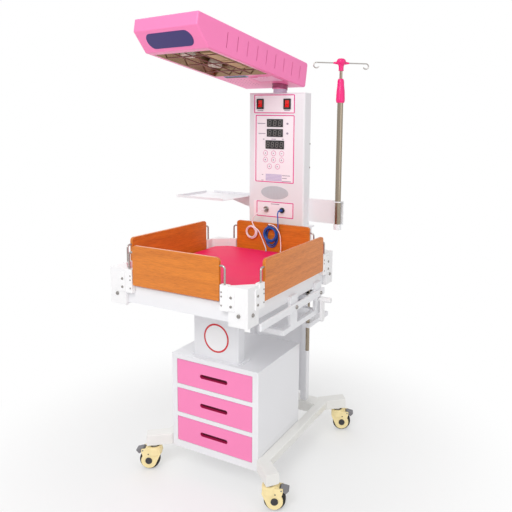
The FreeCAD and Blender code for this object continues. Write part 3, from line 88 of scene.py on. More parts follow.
forward = Vector((-math.sin(YAW) * math.cos(PITCH), math.cos(YAW) * math.cos(PITCH), -math.sin(PITCH)))
level = Vector((math.cos(YAW), math.sin(YAW), 0))
upward = level.cross(forward)
right = level * math.cos(ROLL) + upward * math.sin(ROLL)
top = upward * math.cos(ROLL) - level * math.sin(ROLL)
camera_data = bpy.data.cameras.new("camera")
camera_data.sensor_width = 36
camera_data.lens = FOCAL_PIXELS / PICTURE * camera_data.sensor_width
camera_data.shift_x = (PICTURE / 2 - CENTRE_X) / PICTURE
camera_data.shift_y = (CENTRE_Y - PICTURE / 2) / PICTURE
camera = bpy.data.objects.new("camera", camera_data)
bpy.context.scene.collection.objects.link(camera)
camera.matrix_world = Matrix((
    (right.x, top.x, -forward.x, at(*EYE).x),
    (right.y, top.y, -forward.y, at(*EYE).y),
    (right.z, top.z, -forward.z, at(*EYE).z),
    (0, 0, 0, 1)))
bpy.context.scene.camera = camera
bpy.context.scene.view_settings.view_transform = "Standard"
print("lens", round(camera_data.lens, 2), "shift", round(camera_data.shift_x, 3), round(camera_data.shift_y, 3))

# %% [markdown]
# ## Building blocks for small pieces
# Screws, rings and plates are made from outlines: a profile that is turned about an
# axis, or an outline that is given a thickness. Both end as closed meshes with softened
# edges, so that they catch a highlight as a pressed or moulded piece does.

# %% Closed meshes from outlines
def piece(name, mesh, body, smooth=40):
    """A smooth-shaded mesh object that rides on a body when one is given."""
    thing = bpy.data.objects.new(name, mesh)
    bpy.context.scene.collection.objects.link(thing)
    mesh.shade_smooth()
    mesh.set_sharp_from_angle(angle=math.radians(smooth))
    if body:
        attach(thing, body)
    return thing


def finished(bm, name):
    """The built shape as a mesh with its faces turned outward."""
    bmesh.ops.remove_doubles(bm, verts=bm.verts, dist=1e-7)
    bmesh.ops.recalc_face_normals(bm, faces=bm.faces)
    mesh = bpy.data.meshes.new(name)
    bm.to_mesh(mesh)
    bm.free()
    return mesh


def dressed(bm, name, body, material):
    """The built shape as a piece of the model with its finish."""
    thing = piece(name, finished(bm, name), body)
    thing.data.materials.append(material)
    return thing


def side_frame(normal):
    """Two directions that span the plane across a normal; the second points up if it can."""
    normal = Vector(normal).normalized()
    up = Vector((0, 0, 1)) if abs(normal.z) < 0.9 else Vector((0, 1, 0))
    across = up.cross(normal).normalized()
    return across, normal.cross(across), normal


def turned(bm, centre, normal, profile, steps=32):
    """Turn a closed profile of (radius, height) in millimetres about a normal."""
    across, up, out = side_frame(normal)
    rings = []
    for radius, height in profile:
        ring = []
        for k in range(steps):
            angle = 2 * math.pi * k / steps
            offset = (across * math.cos(angle) + up * math.sin(angle)) * radius + out * height
            ring.append(bm.verts.new(centre + offset / 1000))
            if radius == 0:
                ring = ring * steps
                break
        rings.append(ring)
    for low, high in zip(rings, rings[1:] + rings[:1]):
        for k in range(steps):
            corners = (low[k], low[(k + 1) % steps], high[(k + 1) % steps], high[k])
            different = list(dict.fromkeys(corners))
            if len(different) > 2:
                bm.faces.new(different)


def span(bm, rings, capped=True):
    """Faces between each ring of vertices and the next, and one face on each end."""
    count = len(rings[0])
    for low, high in zip(rings, rings[1:]):
        for k in range(count):
            bm.faces.new((low[k], low[(k + 1) % count], high[(k + 1) % count], high[k]))
    if capped:
        bm.faces.new(rings[0][::-1])
        bm.faces.new(rings[-1])


def slab(bm, centre, normal, outline, depth, edge=0.0):
    """Give an outline of (across, up) in millimetres a depth along a normal, edges softened."""
    across, up, out = side_frame(normal)

    def layer(height, inset):
        middle_a = sum(a for a, _ in outline) / len(outline)
        middle_b = sum(b for _, b in outline) / len(outline)
        points = []
        for a, b in outline:
            reach = max(math.hypot(a - middle_a, b - middle_b), 1e-6)
            scale = 1 - inset / reach
            flat = across * (middle_a + (a - middle_a) * scale) + up * (middle_b + (b - middle_b) * scale)
            points.append(bm.verts.new(centre + (flat + out * height) / 1000))
        return points

    layers = [layer(0, 0), layer(depth - edge, 0), layer(depth, edge)] if edge else [layer(0, 0), layer(depth, 0)]
    span(bm, layers)


def rounded_outline(half_width, half_height, radius, steps=6):
    """A rectangle with round corners, about its middle."""
    points = []
    for corner, (sx, sy) in enumerate(((1, 1), (-1, 1), (-1, -1), (1, -1))):
        for k in range(steps + 1):
            angle = math.pi / 2 * (corner + k / steps)
            points.append((sx * (half_width - radius) + radius * math.cos(angle),
                           sy * (half_height - radius) + radius * math.sin(angle)))
    return points


def strip(bm, centre, normal, outer, inner, depth):
    """A flat frame between two outlines with as many points."""
    across, up, out = side_frame(normal)

    def layer(outline, height):
        return [bm.verts.new(centre + (across * a + up * b + out * height) / 1000) for a, b in outline]

    rings = [layer(outer, 0), layer(outer, depth), layer(inner, depth), layer(inner, 0)]
    span(bm, rings + rings[:1], capped=False)


# %% [markdown]
# ## The two sensor cords
# Each cord is one flexible line from its plug over the back wall, round its coil and out
# to a sensor on the mattress. A NURBS curve with listed points gives the soft, heavy
# bends of a real cord. The turns of a coil lie beside each other, so the points of a
# coil also wander round the middle of the bundle: that keeps a cord's width between them.

# %% Routes of the cords
WHITE_RADIUS, BLUE_RADIUS, THIN_RADIUS = 2.5, 2.75, 2.0
POINTS_PER_TURN = 16


def coil(centre, ring, bundle, start, turns, strands, flat=1.0):
    """Points of clockwise turns about a centre, wandering round a bundle of strands."""
    points = []
    for k in range(int(turns * POINTS_PER_TURN) + 1):
        turned_by = k / POINTS_PER_TURN
        angle = math.radians(start) - 2 * math.pi * turned_by
        phase = 2 * math.pi * turned_by / strands
        reach = ring + bundle * math.cos(phase)
        points.append((centre[0] + reach * math.cos(angle), centre[1] + flat * bundle * math.sin(phase),
                       centre[2] + reach * math.sin(angle)))
    return points


WHITE_LEAD = [(-54, 332.1, 1018), (-54.3, 322, 1017.6), (-60, 310, 1011), (-75, 305, 1000), (-88, 305, 987),
              (-96, 305.5, 974), (-97, 306, 962), (-90, 305, 952)]
WHITE_TAIL = [(-64, 303.5, 931), (-54, 303, 916), (-44, 303, 897), (-34, 302, 878), (-23, 296, 864),
              (-11, 284, 856.4), (0, 268, 855.1), (8, 252, 855.1)]
BLUE_LEAD = [(27, 332.1, 1018), (27.2, 322, 1017.6), (31, 309, 1009), (35, 304, 993), (36.5, 303, 977),
             (37.3, 303, 962), (37.9, 302, 949)]
PROBE_LEAD = [(-2.5, 302.6, 959.6), (7, 300, 960), (20, 298, 958), (32, 296.5, 950.5), (42, 296.5, 939),
              (49, 298, 924), (52, 300, 906), (53, 300, 884), (56, 297, 867), (63, 284, 856.6),
              (73, 264, 855.1), (84, 242, 855.1)]


def oval(centre, half_width, half_height, start, turns):
    """Points of a clockwise loose loop that hangs behind a coil."""
    steps = int(turns * POINTS_PER_TURN)
    return [(centre[0] + half_width * math.cos(math.radians(start) - 2 * math.pi * k / POINTS_PER_TURN), centre[1],
             centre[2] + half_height * math.sin(math.radians(start) - 2 * math.pi * k / POINTS_PER_TURN))
            for k in range(steps + 1)]


white_coil = coil((-100, 304.5, 918), 26.5, 3.6, 62, 3.06, 4)
blue_coil = coil((1, 300.4, 918), 30, 4.0, 8, 3.9, 4)
loose = oval((1, 310.2, 904), 24, 37, 40, 0.95) + oval((1, 310.2, 904), 31, 46, 30, 0.735)
WHITE_CORD = WHITE_LEAD + white_coil + WHITE_TAIL
BLUE_END = [(-17.5, 310.2, 949), (-15, 309.4, 955.5), (-9.5, 306, 958.3)]
BLUE_CORD = BLUE_LEAD + blue_coil + [(24, 306.5, 941)] + loose + BLUE_END
print("points: white", len(WHITE_CORD), "blue", len(BLUE_CORD), "thin", len(PROBE_LEAD))

# %% [markdown]
# A mesh tube is made for each cord. The white and blue cords span two bodies: the socket's
# end is at the control box, and the coil moves with the bed. Their tubes are left on no body;
# the thin lead rides on the bed. Blender makes the tube from the curve, and the same curve
# without thickness gives the line that it follows.

# %% Tubes from the routes
def cord_tube(name, route, radius, body_pair=None):
    """A smooth tube along a route, and the points that it follows."""
    curve = bpy.data.curves.new(name, "CURVE")
    curve.dimensions = "3D"
    curve.resolution_u = 6
    spline = curve.splines.new("NURBS")
    spline.points.add(len(route) - 1)
    for point, place in zip(spline.points, route):
        point.co = (*at(*place), 1)
    spline.order_u = 3
    spline.use_endpoint_u = True
    line = bpy.data.objects.new(name + "_line", curve)
    bpy.context.scene.collection.objects.link(line)
    path_mesh = bpy.data.meshes.new_from_object(line)
    path = [vertex.co.copy() for vertex in path_mesh.vertices]
    curve.bevel_depth = radius / 1000
    curve.bevel_resolution = 4
    curve.use_fill_caps = True
    mesh = bpy.data.meshes.new_from_object(line)
    bpy.data.objects.remove(line)
    thing = bpy.data.objects.new(name, mesh)
    bpy.context.scene.collection.objects.link(thing)
    mesh.shade_smooth()
    if body_pair:
        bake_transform(thing)
    else:
        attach(thing, "bed")
    length = sum((b - a).length for a, b in zip(path, path[1:]))
    print(name, "length", round(length, 3), "m")
    return thing, path, length


white_cord, white_path, white_length = cord_tube("white_cord", WHITE_CORD, WHITE_RADIUS, ("warmer_stand", "bed"))
blue_cord, blue_path, blue_length = cord_tube("blue_cord", BLUE_CORD, BLUE_RADIUS, ("warmer_stand", "bed"))
thin_cord, thin_path, thin_length = cord_tube("probe_cord", PROBE_LEAD, THIN_RADIUS)

# %% [markdown]
# ## Finishes
# Several finishes share an effect: paint and moulded plastic both have a slightly uneven
# skin, and steel and the reflector are brushed.
# Each such effect is a node group with its own inputs, built once and used with other
# values in each material. The shader itself stays in the material.

# %% Node helpers
def new_group(name, inputs, outputs):
    """A shader node group with named sockets; returns the tree and its two end nodes."""
    tree = bpy.data.node_groups.new(name, "ShaderNodeTree")
    kinds = {"value": "NodeSocketFloat", "color": "NodeSocketColor", "vector": "NodeSocketVector"}
    for label, kind, start in inputs:
        socket = tree.interface.new_socket(label, in_out="INPUT", socket_type=kinds[kind])
        if start is not None:
            socket.default_value = start
    for label, kind in outputs:
        tree.interface.new_socket(label, in_out="OUTPUT", socket_type=kinds[kind])
    return tree, tree.nodes.new("NodeGroupInput"), tree.nodes.new("NodeGroupOutput")


def add(tree, kind, **settings):
    """A node with some of its properties or unlinked inputs set."""
    made = tree.nodes.new("ShaderNode" + kind)
    for key, value in settings.items():
        if hasattr(made, key):
            setattr(made, key, value)
        else:
            made.inputs[key.replace("_", " ")].default_value = value
    return made


def ramp(tree, source, stops):
    """A colour ramp fed by a value."""
    made = tree.nodes.new("ShaderNodeValToRGB")
    elements = made.color_ramp.elements
    while len(elements) < len(stops):
        elements.new(0.5)
    for element, (place, value) in zip(elements, stops):
        element.position = place
        element.color = (*value, 1) if isinstance(value, tuple) else (value, value, value, 1)
    tree.links.new(source, made.inputs[0])
    return made


# %% Effect: uneven skin
tree, start, end = new_group(
    "uneven skin",
    [("Color", "color", (0.8, 0.8, 0.8, 1)), ("Scale", "value", 60.0), ("Tone", "value", 0.04),
     ("Roughness", "value", 0.4), ("Spread", "value", 0.06), ("Depth", "value", 0.05)],
    [("Color", "color"), ("Roughness", "value"), ("Normal", "vector")])
place = add(tree, "TexCoord")
cloud = add(tree, "TexNoise", Detail=3.0)
cloud.inputs["Scale"].default_value = 7.0
fine = add(tree, "TexNoise", Detail=2.0)
tree.links.new(place.outputs["Object"], cloud.inputs["Vector"])
tree.links.new(place.outputs["Object"], fine.inputs["Vector"])
tree.links.new(start.outputs["Scale"], fine.inputs["Scale"])
tone = add(tree, "MapRange", To_Min=-0.5, To_Max=0.5)
tree.links.new(cloud.outputs["Fac"], tone.inputs["Value"])
tone_amount = add(tree, "Math", operation="MULTIPLY_ADD")
tone_amount.inputs[2].default_value = 1.0
tree.links.new(tone.outputs["Result"], tone_amount.inputs[0])
tree.links.new(start.outputs["Tone"], tone_amount.inputs[1])
shade = add(tree, "VectorMath", operation="SCALE")
tree.links.new(start.outputs["Color"], shade.inputs[0])
tree.links.new(tone_amount.outputs[0], shade.inputs["Scale"])
tree.links.new(shade.outputs[0], end.inputs["Color"])
rough = add(tree, "Math", operation="MULTIPLY_ADD")
tree.links.new(tone.outputs["Result"], rough.inputs[0])
tree.links.new(start.outputs["Spread"], rough.inputs[1])
tree.links.new(start.outputs["Roughness"], rough.inputs[2])
tree.links.new(rough.outputs[0], end.inputs["Roughness"])
bump = add(tree, "Bump", Distance=0.0004)
tree.links.new(fine.outputs["Fac"], bump.inputs["Height"])
tree.links.new(start.outputs["Depth"], bump.inputs["Strength"])
tree.links.new(bump.outputs["Normal"], end.inputs["Normal"])
uneven_skin = tree

# %% [markdown]
# Drawn steel has fine lines along the tube. Stretching a noise along one direction gives
# them; the group takes the stretch as an input, so one group serves posts and rings.

# %% Effect: brushed lines
tree, start, end = new_group(
    "brushed lines",
    [("Color", "color", (0.7, 0.7, 0.7, 1)), ("Stretch", "vector", (900.0, 900.0, 6.0)), ("Tone", "value", 0.2),
     ("Roughness", "value", 0.25), ("Depth", "value", 0.06)],
    [("Color", "color"), ("Roughness", "value"), ("Normal", "vector")])
place = add(tree, "TexCoord")
stretched = add(tree, "VectorMath", operation="MULTIPLY")
tree.links.new(place.outputs["Object"], stretched.inputs[0])
tree.links.new(start.outputs["Stretch"], stretched.inputs[1])
lines = add(tree, "TexNoise", Detail=4.0)
lines.inputs["Scale"].default_value = 1.0
tree.links.new(stretched.outputs[0], lines.inputs["Vector"])
spread = add(tree, "MapRange", To_Min=-0.5, To_Max=0.5)
tree.links.new(lines.outputs["Fac"], spread.inputs["Value"])
amount = add(tree, "Math", operation="MULTIPLY_ADD")
amount.inputs[2].default_value = 1.0
tree.links.new(spread.outputs["Result"], amount.inputs[0])
tree.links.new(start.outputs["Tone"], amount.inputs[1])
shade = add(tree, "VectorMath", operation="SCALE")
tree.links.new(start.outputs["Color"], shade.inputs[0])
tree.links.new(amount.outputs[0], shade.inputs["Scale"])
tree.links.new(shade.outputs[0], end.inputs["Color"])
rough = add(tree, "Math", operation="MULTIPLY_ADD")
rough.inputs[1].default_value = 0.15
tree.links.new(spread.outputs["Result"], rough.inputs[0])
tree.links.new(start.outputs["Roughness"], rough.inputs[2])
tree.links.new(rough.outputs[0], end.inputs["Roughness"])
bump = add(tree, "Bump", Distance=0.0002)
tree.links.new(lines.outputs["Fac"], bump.inputs["Height"])
tree.links.new(start.outputs["Depth"], bump.inputs["Strength"])
tree.links.new(bump.outputs["Normal"], end.inputs["Normal"])
brushed_lines = tree

# %% [markdown]
# The walls are veneered board. Its figure is a slow wave that runs along the board, with
# fine dark pores in the same direction. One group draws both; the long side of a board
# is X on the front and back walls and Y on the side walls.

# %% Effect: wood figure
tree, start, end = new_group(
    "wood figure",
    [("Light", "color", (0.7, 0.3, 0.07, 1)), ("Dark", "color", (0.45, 0.16, 0.03, 1)),
     ("Stretch", "vector", (2.0, 20.0, 20.0))],
    [("Color", "color"), ("Roughness", "value"), ("Normal", "vector")])
place = add(tree, "TexCoord")
stretched = add(tree, "VectorMath", operation="MULTIPLY")
tree.links.new(place.outputs["Object"], stretched.inputs[0])
tree.links.new(start.outputs["Stretch"], stretched.inputs[1])
figure = add(tree, "TexNoise", Detail=5.0, Roughness=0.6, Distortion=0.6)
figure.inputs["Scale"].default_value = 1.6
pores = add(tree, "TexNoise", Detail=6.0, Roughness=0.7)
pores.inputs["Scale"].default_value = 14.0
for texture in (figure, pores):
    tree.links.new(stretched.outputs[0], texture.inputs["Vector"])
broad = ramp(tree, figure.outputs["Fac"], [(0.3, 0.0), (0.7, 1.0)])
narrow = ramp(tree, pores.outputs["Fac"], [(0.38, 0.0), (0.56, 1.0)])
both = add(tree, "Mix", data_type="FLOAT")
both.inputs[0].default_value = 0.45
tree.links.new(broad.outputs["Color"], both.inputs[2])
tree.links.new(narrow.outputs["Color"], both.inputs[3])
blend_color = add(tree, "Mix", data_type="RGBA")
tree.links.new(both.outputs[0], blend_color.inputs[0])
tree.links.new(start.outputs["Dark"], blend_color.inputs[6])
tree.links.new(start.outputs["Light"], blend_color.inputs[7])
tree.links.new(blend_color.outputs[2], end.inputs["Color"])
rough = add(tree, "MapRange", To_Min=0.42, To_Max=0.3)
tree.links.new(both.outputs[0], rough.inputs["Value"])
tree.links.new(rough.outputs["Result"], end.inputs["Roughness"])
bump = add(tree, "Bump", Distance=0.0002, Strength=0.25)
tree.links.new(narrow.outputs["Color"], bump.inputs["Height"])
tree.links.new(bump.outputs["Normal"], end.inputs["Normal"])
wood_figure = tree

# %% [markdown]
# A vinyl cover has a fine pebbled grain, and welded vinyl shows soft creases near its
# seams; the group draws only the grain.

# %% Effect: pebble grain
tree, start, end = new_group(
    "pebble grain",
    [("Scale", "value", 900.0), ("Depth", "value", 0.2), ("Roughness", "value", 0.45)],
    [("Mask", "value"), ("Roughness", "value"), ("Normal", "vector")])
place = add(tree, "TexCoord")
pebbles = add(tree, "TexVoronoi", feature="SMOOTH_F1")
tree.links.new(place.outputs["Object"], pebbles.inputs["Vector"])
tree.links.new(start.outputs["Scale"], pebbles.inputs["Scale"])
wide = add(tree, "TexNoise", Detail=2.0)
wide.inputs["Scale"].default_value = 18.0
tree.links.new(place.outputs["Object"], wide.inputs["Vector"])
tree.links.new(wide.outputs["Fac"], end.inputs["Mask"])
rough = add(tree, "Math", operation="MULTIPLY_ADD")
rough.inputs[1].default_value = 0.12
tree.links.new(wide.outputs["Fac"], rough.inputs[0])
tree.links.new(start.outputs["Roughness"], rough.inputs[2])
tree.links.new(rough.outputs[0], end.inputs["Roughness"])
bump = add(tree, "Bump", Distance=0.0003)
tree.links.new(pebbles.outputs["Distance"], bump.inputs["Height"])
tree.links.new(start.outputs["Depth"], bump.inputs["Strength"])
tree.links.new(bump.outputs["Normal"], end.inputs["Normal"])
pebble_grain = tree
print("effects", len(bpy.data.node_groups))


# %% [markdown]
# ## Materials
# Colours are written as they appear in the photograph's plain light, in sRGB, and turned
# into the linear values that the shader wants.

# %% Materials from effects
def srgb(red, green, blue):
    """A colour given as 0 to 255 sRGB, as a linear RGBA."""
    return tuple(((c / 255 + 0.055) / 1.055) ** 2.4 if c > 10 else c / 3294 for c in (red, green, blue)) + (1.0,)


def finish_with(name, effect, values, shader):
    """A material whose colour, roughness and normal come from one effect group."""
    material = bpy.data.materials.new(name)
    material.use_nodes = True
    tree = material.node_tree
    principled = tree.nodes["Principled BSDF"]
    for key, value in shader.items():
        principled.inputs[key].default_value = value
    group = tree.nodes.new("ShaderNodeGroup")
    group.node_tree = effect
    for key, value in values.items():
        group.inputs[key].default_value = value
    for output, socket in (("Color", "Base Color"), ("Roughness", "Roughness"), ("Normal", "Normal")):
        if output in group.outputs:
            tree.links.new(group.outputs[output], principled.inputs[socket])
    return material


def paint(name, color, roughness=0.34, depth=0.10, tone=0.03):
    return finish_with(name, uneven_skin, {"Color": color, "Scale": 420.0, "Tone": tone, "Roughness": roughness,
                                           "Spread": 0.08, "Depth": depth},
                       {"Coat Weight": 0.15, "Coat Roughness": 0.25})


def moulded(name, color, roughness=0.4, depth=0.06, tone=0.04):
    return finish_with(name, uneven_skin, {"Color": color, "Scale": 900.0, "Tone": tone, "Roughness": roughness,
                                           "Spread": 0.1, "Depth": depth}, {"Specular IOR Level": 0.45})


def steel(name, color, stretch, roughness=0.25, depth=0.06, tone=0.2):
    return finish_with(name, brushed_lines, {"Color": color, "Stretch": stretch, "Roughness": roughness,
                                             "Depth": depth, "Tone": tone}, {"Metallic": 1.0})


UPRIGHT_LINES, ALONG_X_LINES, ROUND_LINES = (900.0, 900.0, 5.0), (5.0, 900.0, 900.0), (600.0, 600.0, 600.0)
white_paint = paint("white powder coat", srgb(240, 240, 243))
cream_paint = paint("base powder coat", srgb(238, 237, 233))
pink_paint = paint("pink powder coat", srgb(253, 136, 190), roughness=0.42)
hood_paint = paint("hood powder coat", srgb(254, 132, 190), roughness=0.38)
collar_paint = paint("neck powder coat", srgb(206, 190, 214), roughness=0.35)
# The grip lining is the drawer pink darkened as painted shade.
lining_pink_and_painted_shade = moulded("grip lining pink with painted shade", srgb(190, 30, 90), roughness=0.5)
corner_plastic = moulded("corner moulding", srgb(246, 245, 246), roughness=0.38)
castor_plastic = moulded("ivory nylon", srgb(252, 233, 176), roughness=0.42)
grey_plastic = moulded("grey nylon", srgb(128, 127, 131), roughness=0.5, depth=0.15)
black_plastic = moulded("black plastic", srgb(30, 29, 31), roughness=0.42)
hub_plastic = moulded("charcoal hub", srgb(58, 57, 60), roughness=0.5)
tyre_rubber = moulded("tyre rubber", srgb(38, 36, 36), roughness=0.72, depth=0.2)
hot_pink = moulded("hot pink plastic", srgb(244, 38, 128), roughness=0.28, depth=0.02)
lever_plastic = moulded("white nylon", srgb(244, 243, 244), roughness=0.4)
red_plastic = moulded("red rocker", srgb(238, 26, 26), roughness=0.25, depth=0.02)
grey_cap = moulded("plug grip", srgb(190, 190, 192), roughness=0.45)
blue_cap = moulded("blue plug grip", srgb(24, 74, 160), roughness=0.45)
label_film = moulded("printed film", srgb(254, 247, 252), roughness=0.42, depth=0.03, tone=0.02)
magenta_ink = moulded("magenta ink", srgb(226, 24, 138), roughness=0.42, depth=0.02, tone=0.12)
grey_ink = moulded("grey ink", srgb(150, 140, 160), roughness=0.5, depth=0.02)
segment_ink = moulded("unlit segment", srgb(120, 118, 116), roughness=0.4, depth=0.02)
navy_enamel = moulded("navy badge", srgb(52, 38, 110), roughness=0.3, depth=0.02)
red_enamel = moulded("red rim", srgb(214, 30, 44), roughness=0.35, depth=0.02)
badge_white = moulded("badge white", srgb(250, 249, 250), roughness=0.4, depth=0.02)
pole_steel = steel("pole steel", srgb(152, 140, 124), (170.0, 170.0, 1.5), roughness=0.16, tone=0.9)
wire_steel = steel("wire steel", srgb(176, 172, 168), ROUND_LINES, roughness=0.28, tone=0.1)
bolt_steel = steel("bolt steel", srgb(150, 146, 142), ROUND_LINES, roughness=0.32, tone=0.15)
bracket_metal = paint("bracket enamel", srgb(248, 247, 248), roughness=0.32)
clamp_steel = steel("clamp steel", srgb(206, 206, 210), ALONG_X_LINES, roughness=0.28)
badge_steel = steel("brushed plate", srgb(200, 203, 208), UPRIGHT_LINES, roughness=0.5, depth=0.1, tone=0.25)
reflector_metal = steel("reflector sheet", srgb(150, 122, 98), ALONG_X_LINES, roughness=0.18, tone=0.5)
guard_steel = steel("guard wire", srgb(136, 84, 84), ROUND_LINES, roughness=0.35, tone=0.1)
ceramic = moulded("heater ceramic", srgb(214, 184, 140), roughness=0.6, depth=0.2, tone=0.1)
white_silicone = finish_with("white silicone", uneven_skin, {
    "Color": srgb(250, 240, 244), "Scale": 700.0, "Tone": 0.03, "Roughness": 0.42, "Spread": 0.1, "Depth": 0.05},
    {"Subsurface Weight": 0.1, "Subsurface Scale": 0.002})
blue_silicone = finish_with("blue silicone", uneven_skin, {
    "Color": srgb(22, 92, 178), "Scale": 700.0, "Tone": 0.06, "Roughness": 0.4, "Spread": 0.1, "Depth": 0.05},
    {"Subsurface Weight": 0.1, "Subsurface Scale": 0.002})
LONG_X, LONG_Y = (2.2, 30.0, 30.0), (30.0, 2.2, 30.0)
wood_long = {"Light": srgb(232, 136, 36), "Dark": srgb(190, 98, 16), "Stretch": LONG_X}
wood_x = finish_with("wall veneer along X", wood_figure, wood_long, {"Coat Weight": 0.12, "Coat Roughness": 0.3})
wood_y = finish_with("wall veneer along Y", wood_figure, {**wood_long, "Stretch": LONG_Y},
                     {"Coat Weight": 0.12, "Coat Roughness": 0.3})
vinyl = bpy.data.materials.new("hot pink vinyl")
vinyl.use_nodes = True
shader = vinyl.node_tree.nodes["Principled BSDF"]
grain = vinyl.node_tree.nodes.new("ShaderNodeGroup")
grain.node_tree = pebble_grain
tint = vinyl.node_tree.nodes.new("ShaderNodeMix")
tint.data_type = "RGBA"
tint.inputs[6].default_value = srgb(252, 18, 92)
tint.inputs[7].default_value = srgb(255, 28, 106)
shader.inputs["Specular IOR Level"].default_value = 0.25
vinyl.node_tree.links.new(grain.outputs["Mask"], tint.inputs[0])
vinyl.node_tree.links.new(tint.outputs[2], shader.inputs["Base Color"])
vinyl.node_tree.links.new(grain.outputs["Roughness"], shader.inputs["Roughness"])
vinyl.node_tree.links.new(grain.outputs["Normal"], shader.inputs["Normal"])
glass = bpy.data.materials.new("lamp glass")
glass.use_nodes = True
lamp_shader = glass.node_tree.nodes["Principled BSDF"]
lamp_shader.inputs["Base Color"].default_value = srgb(250, 246, 236)
lamp_shader.inputs["Roughness"].default_value = 0.12
lamp_shader.inputs["Coat Weight"].default_value = 0.5
frost = glass.node_tree.nodes.new("ShaderNodeGroup")
frost.node_tree = pebble_grain
frost.inputs["Depth"].default_value = 0.05
glass.node_tree.links.new(frost.outputs["Normal"], lamp_shader.inputs["Normal"])
print("materials", len(bpy.data.materials))


# %% [markdown]
# Each rigid CAD form keeps its shape and only changes its finish.

# %% Finishes on the CAD pieces
CASTOR_NAMES = ("front_left", "front_right", "rear_left", "rear_right")
FINISHES = {
    "base_frame": cream_paint, "cabinet_shell": white_paint, "support_column": white_paint,
    "rear_posts": white_paint, "tilt_rod": pole_steel, "control_box": white_paint, "front_labels": label_film,
    "front_fittings": black_plastic, "neck_tube": collar_paint, "instrument_tray": white_paint,
    "pole_bracket": white_paint, "pole_tube": pole_steel, "pole_grip": hot_pink, "pole_mast": pole_steel,
    "drawer_top": pink_paint, "drawer_middle": pink_paint, "drawer_low": pink_paint, "deck_pan": white_paint,
    "corner_posts": corner_plastic, "wall_brackets": bracket_metal, "corner_bolts": bolt_steel,
    "side_rails": white_paint, "tilt_clamp": clamp_steel, "tilt_lever": lever_plastic,
    "wall_front": wood_x, "wall_back": wood_x, "wall_left": wood_y, "wall_right": wood_y,
    "rocker_left": red_plastic, "rocker_right": red_plastic, "hood_shell": hood_paint,
    "hood_reflector": reflector_metal, "hood_guard": guard_steel, "heater_plates": ceramic, "hood_lamps": glass,
    "sensor_plugs": grey_cap, "pole_hooks": hot_pink,
}
for side in ("front", "back", "left", "right"):
    FINISHES[f"wall_rods_{side}"] = wire_steel
for name in CASTOR_NAMES:
    FINISHES[f"castor_housing_{name}"] = castor_plastic
    FINISHES[f"castor_wheel_{name}"] = tyre_rubber
    FINISHES[f"castor_pedal_{name}"] = grey_plastic
for name, material in FINISHES.items():
    if name in nodes:
        nodes[name].data.materials.clear()
        nodes[name].data.materials.append(material)
print("without a finish:", sorted(set(nodes) - set(FINISHES)))

# %% [markdown]
# ## World, floor and light
# The photograph is a studio picture: white all round, soft light from the front and
# above, and a faint shadow on the floor that fades out. The camera sees the world at
# strength 1, so the background is plain white, and so do metal and glass. The floor is a
# wide disc that lets that white through towards its rim, so it has no edge.

# %% World
def seen_plainly(tree, ray):
    """1 for what the camera sees directly, in metal or through glass."""
    seen_by = ray.outputs["Is Camera Ray"]
    for other in ("Is Glossy Ray", "Is Transmission Ray"):
        either = add(tree, "Math", operation="MAXIMUM")
        tree.links.new(seen_by, either.inputs[0])
        tree.links.new(ray.outputs[other], either.inputs[1])
        seen_by = either.outputs[0]
    return seen_by


world = bpy.data.worlds.new("studio")
bpy.context.scene.world = world
world.use_nodes = True
tree = world.node_tree
tree.nodes.clear()
sky = tree.nodes.new("ShaderNodeBackground")
sky.inputs["Color"].default_value = (1.0, 1.0, 1.0, 1)
sky.inputs["Strength"].default_value = 0.6
seen = tree.nodes.new("ShaderNodeBackground")
seen.inputs["Color"].default_value = (1, 1, 1, 1)
seen.inputs["Strength"].default_value = 1.0
ray = tree.nodes.new("ShaderNodeLightPath")
pick = tree.nodes.new("ShaderNodeMixShader")
world_out = tree.nodes.new("ShaderNodeOutputWorld")
tree.links.new(seen_plainly(tree, ray), pick.inputs[0])
tree.links.new(sky.outputs[0], pick.inputs[1])
tree.links.new(seen.outputs[0], pick.inputs[2])
tree.links.new(pick.outputs[0], world_out.inputs["Surface"])

# %% Floor
bm = bmesh.new()
turned(bm, at(0, 0, 0), (0, 0, 1), [(0, 0), (4200, 0), (4200, -20), (0, -20)], steps=64)
floor_mesh = finished(bm, "floor")
floor = bpy.data.objects.new("floor", floor_mesh)
bpy.context.scene.collection.objects.link(floor)
floor_finish = bpy.data.materials.new("studio floor")
floor_finish.use_nodes = True
tree = floor_finish.node_tree
shader = tree.nodes["Principled BSDF"]
shader.inputs["Base Color"].default_value = (0.93, 0.93, 0.93, 1)
shader.inputs["Roughness"].default_value = 0.55
shader.inputs["Specular IOR Level"].default_value = 0.2
place = add(tree, "TexCoord")
distance = add(tree, "VectorMath", operation="LENGTH")
tree.links.new(place.outputs["Object"], distance.inputs[0])
fade = add(tree, "MapRange", interpolation_type="SMOOTHSTEP", From_Min=0.45, From_Max=1.3, To_Min=0.35, To_Max=1.0)
tree.links.new(distance.outputs["Value"], fade.inputs["Value"])
path = add(tree, "LightPath")
camera_only = add(tree, "Math", operation="MULTIPLY")
tree.links.new(fade.outputs["Result"], camera_only.inputs[0])
tree.links.new(seen_plainly(tree, path), camera_only.inputs[1])
white = add(tree, "Emission", Strength=1.0)
mixer = add(tree, "MixShader")
tree.links.new(camera_only.outputs[0], mixer.inputs[0])
tree.links.new(shader.outputs[0], mixer.inputs[1])
tree.links.new(white.outputs[0], mixer.inputs[2])
tree.links.new(mixer.outputs[0], tree.nodes["Material Output"].inputs["Surface"])
floor_mesh.materials.append(floor_finish)


# %% Lamps
def lamp(name, place, target, size, watts, color=(1, 1, 1)):
    """A square area lamp that faces a point of the drawing."""
    data = bpy.data.lights.new(name, "AREA")
    data.size = size
    data.energy = watts
    data.color = color
    thing = bpy.data.objects.new(name, data)
    bpy.context.scene.collection.objects.link(thing)
    thing.location = at(*place)
    aim = at(*target) - thing.location
    thing.rotation_euler = aim.to_track_quat("-Z", "Y").to_euler()
    return thing


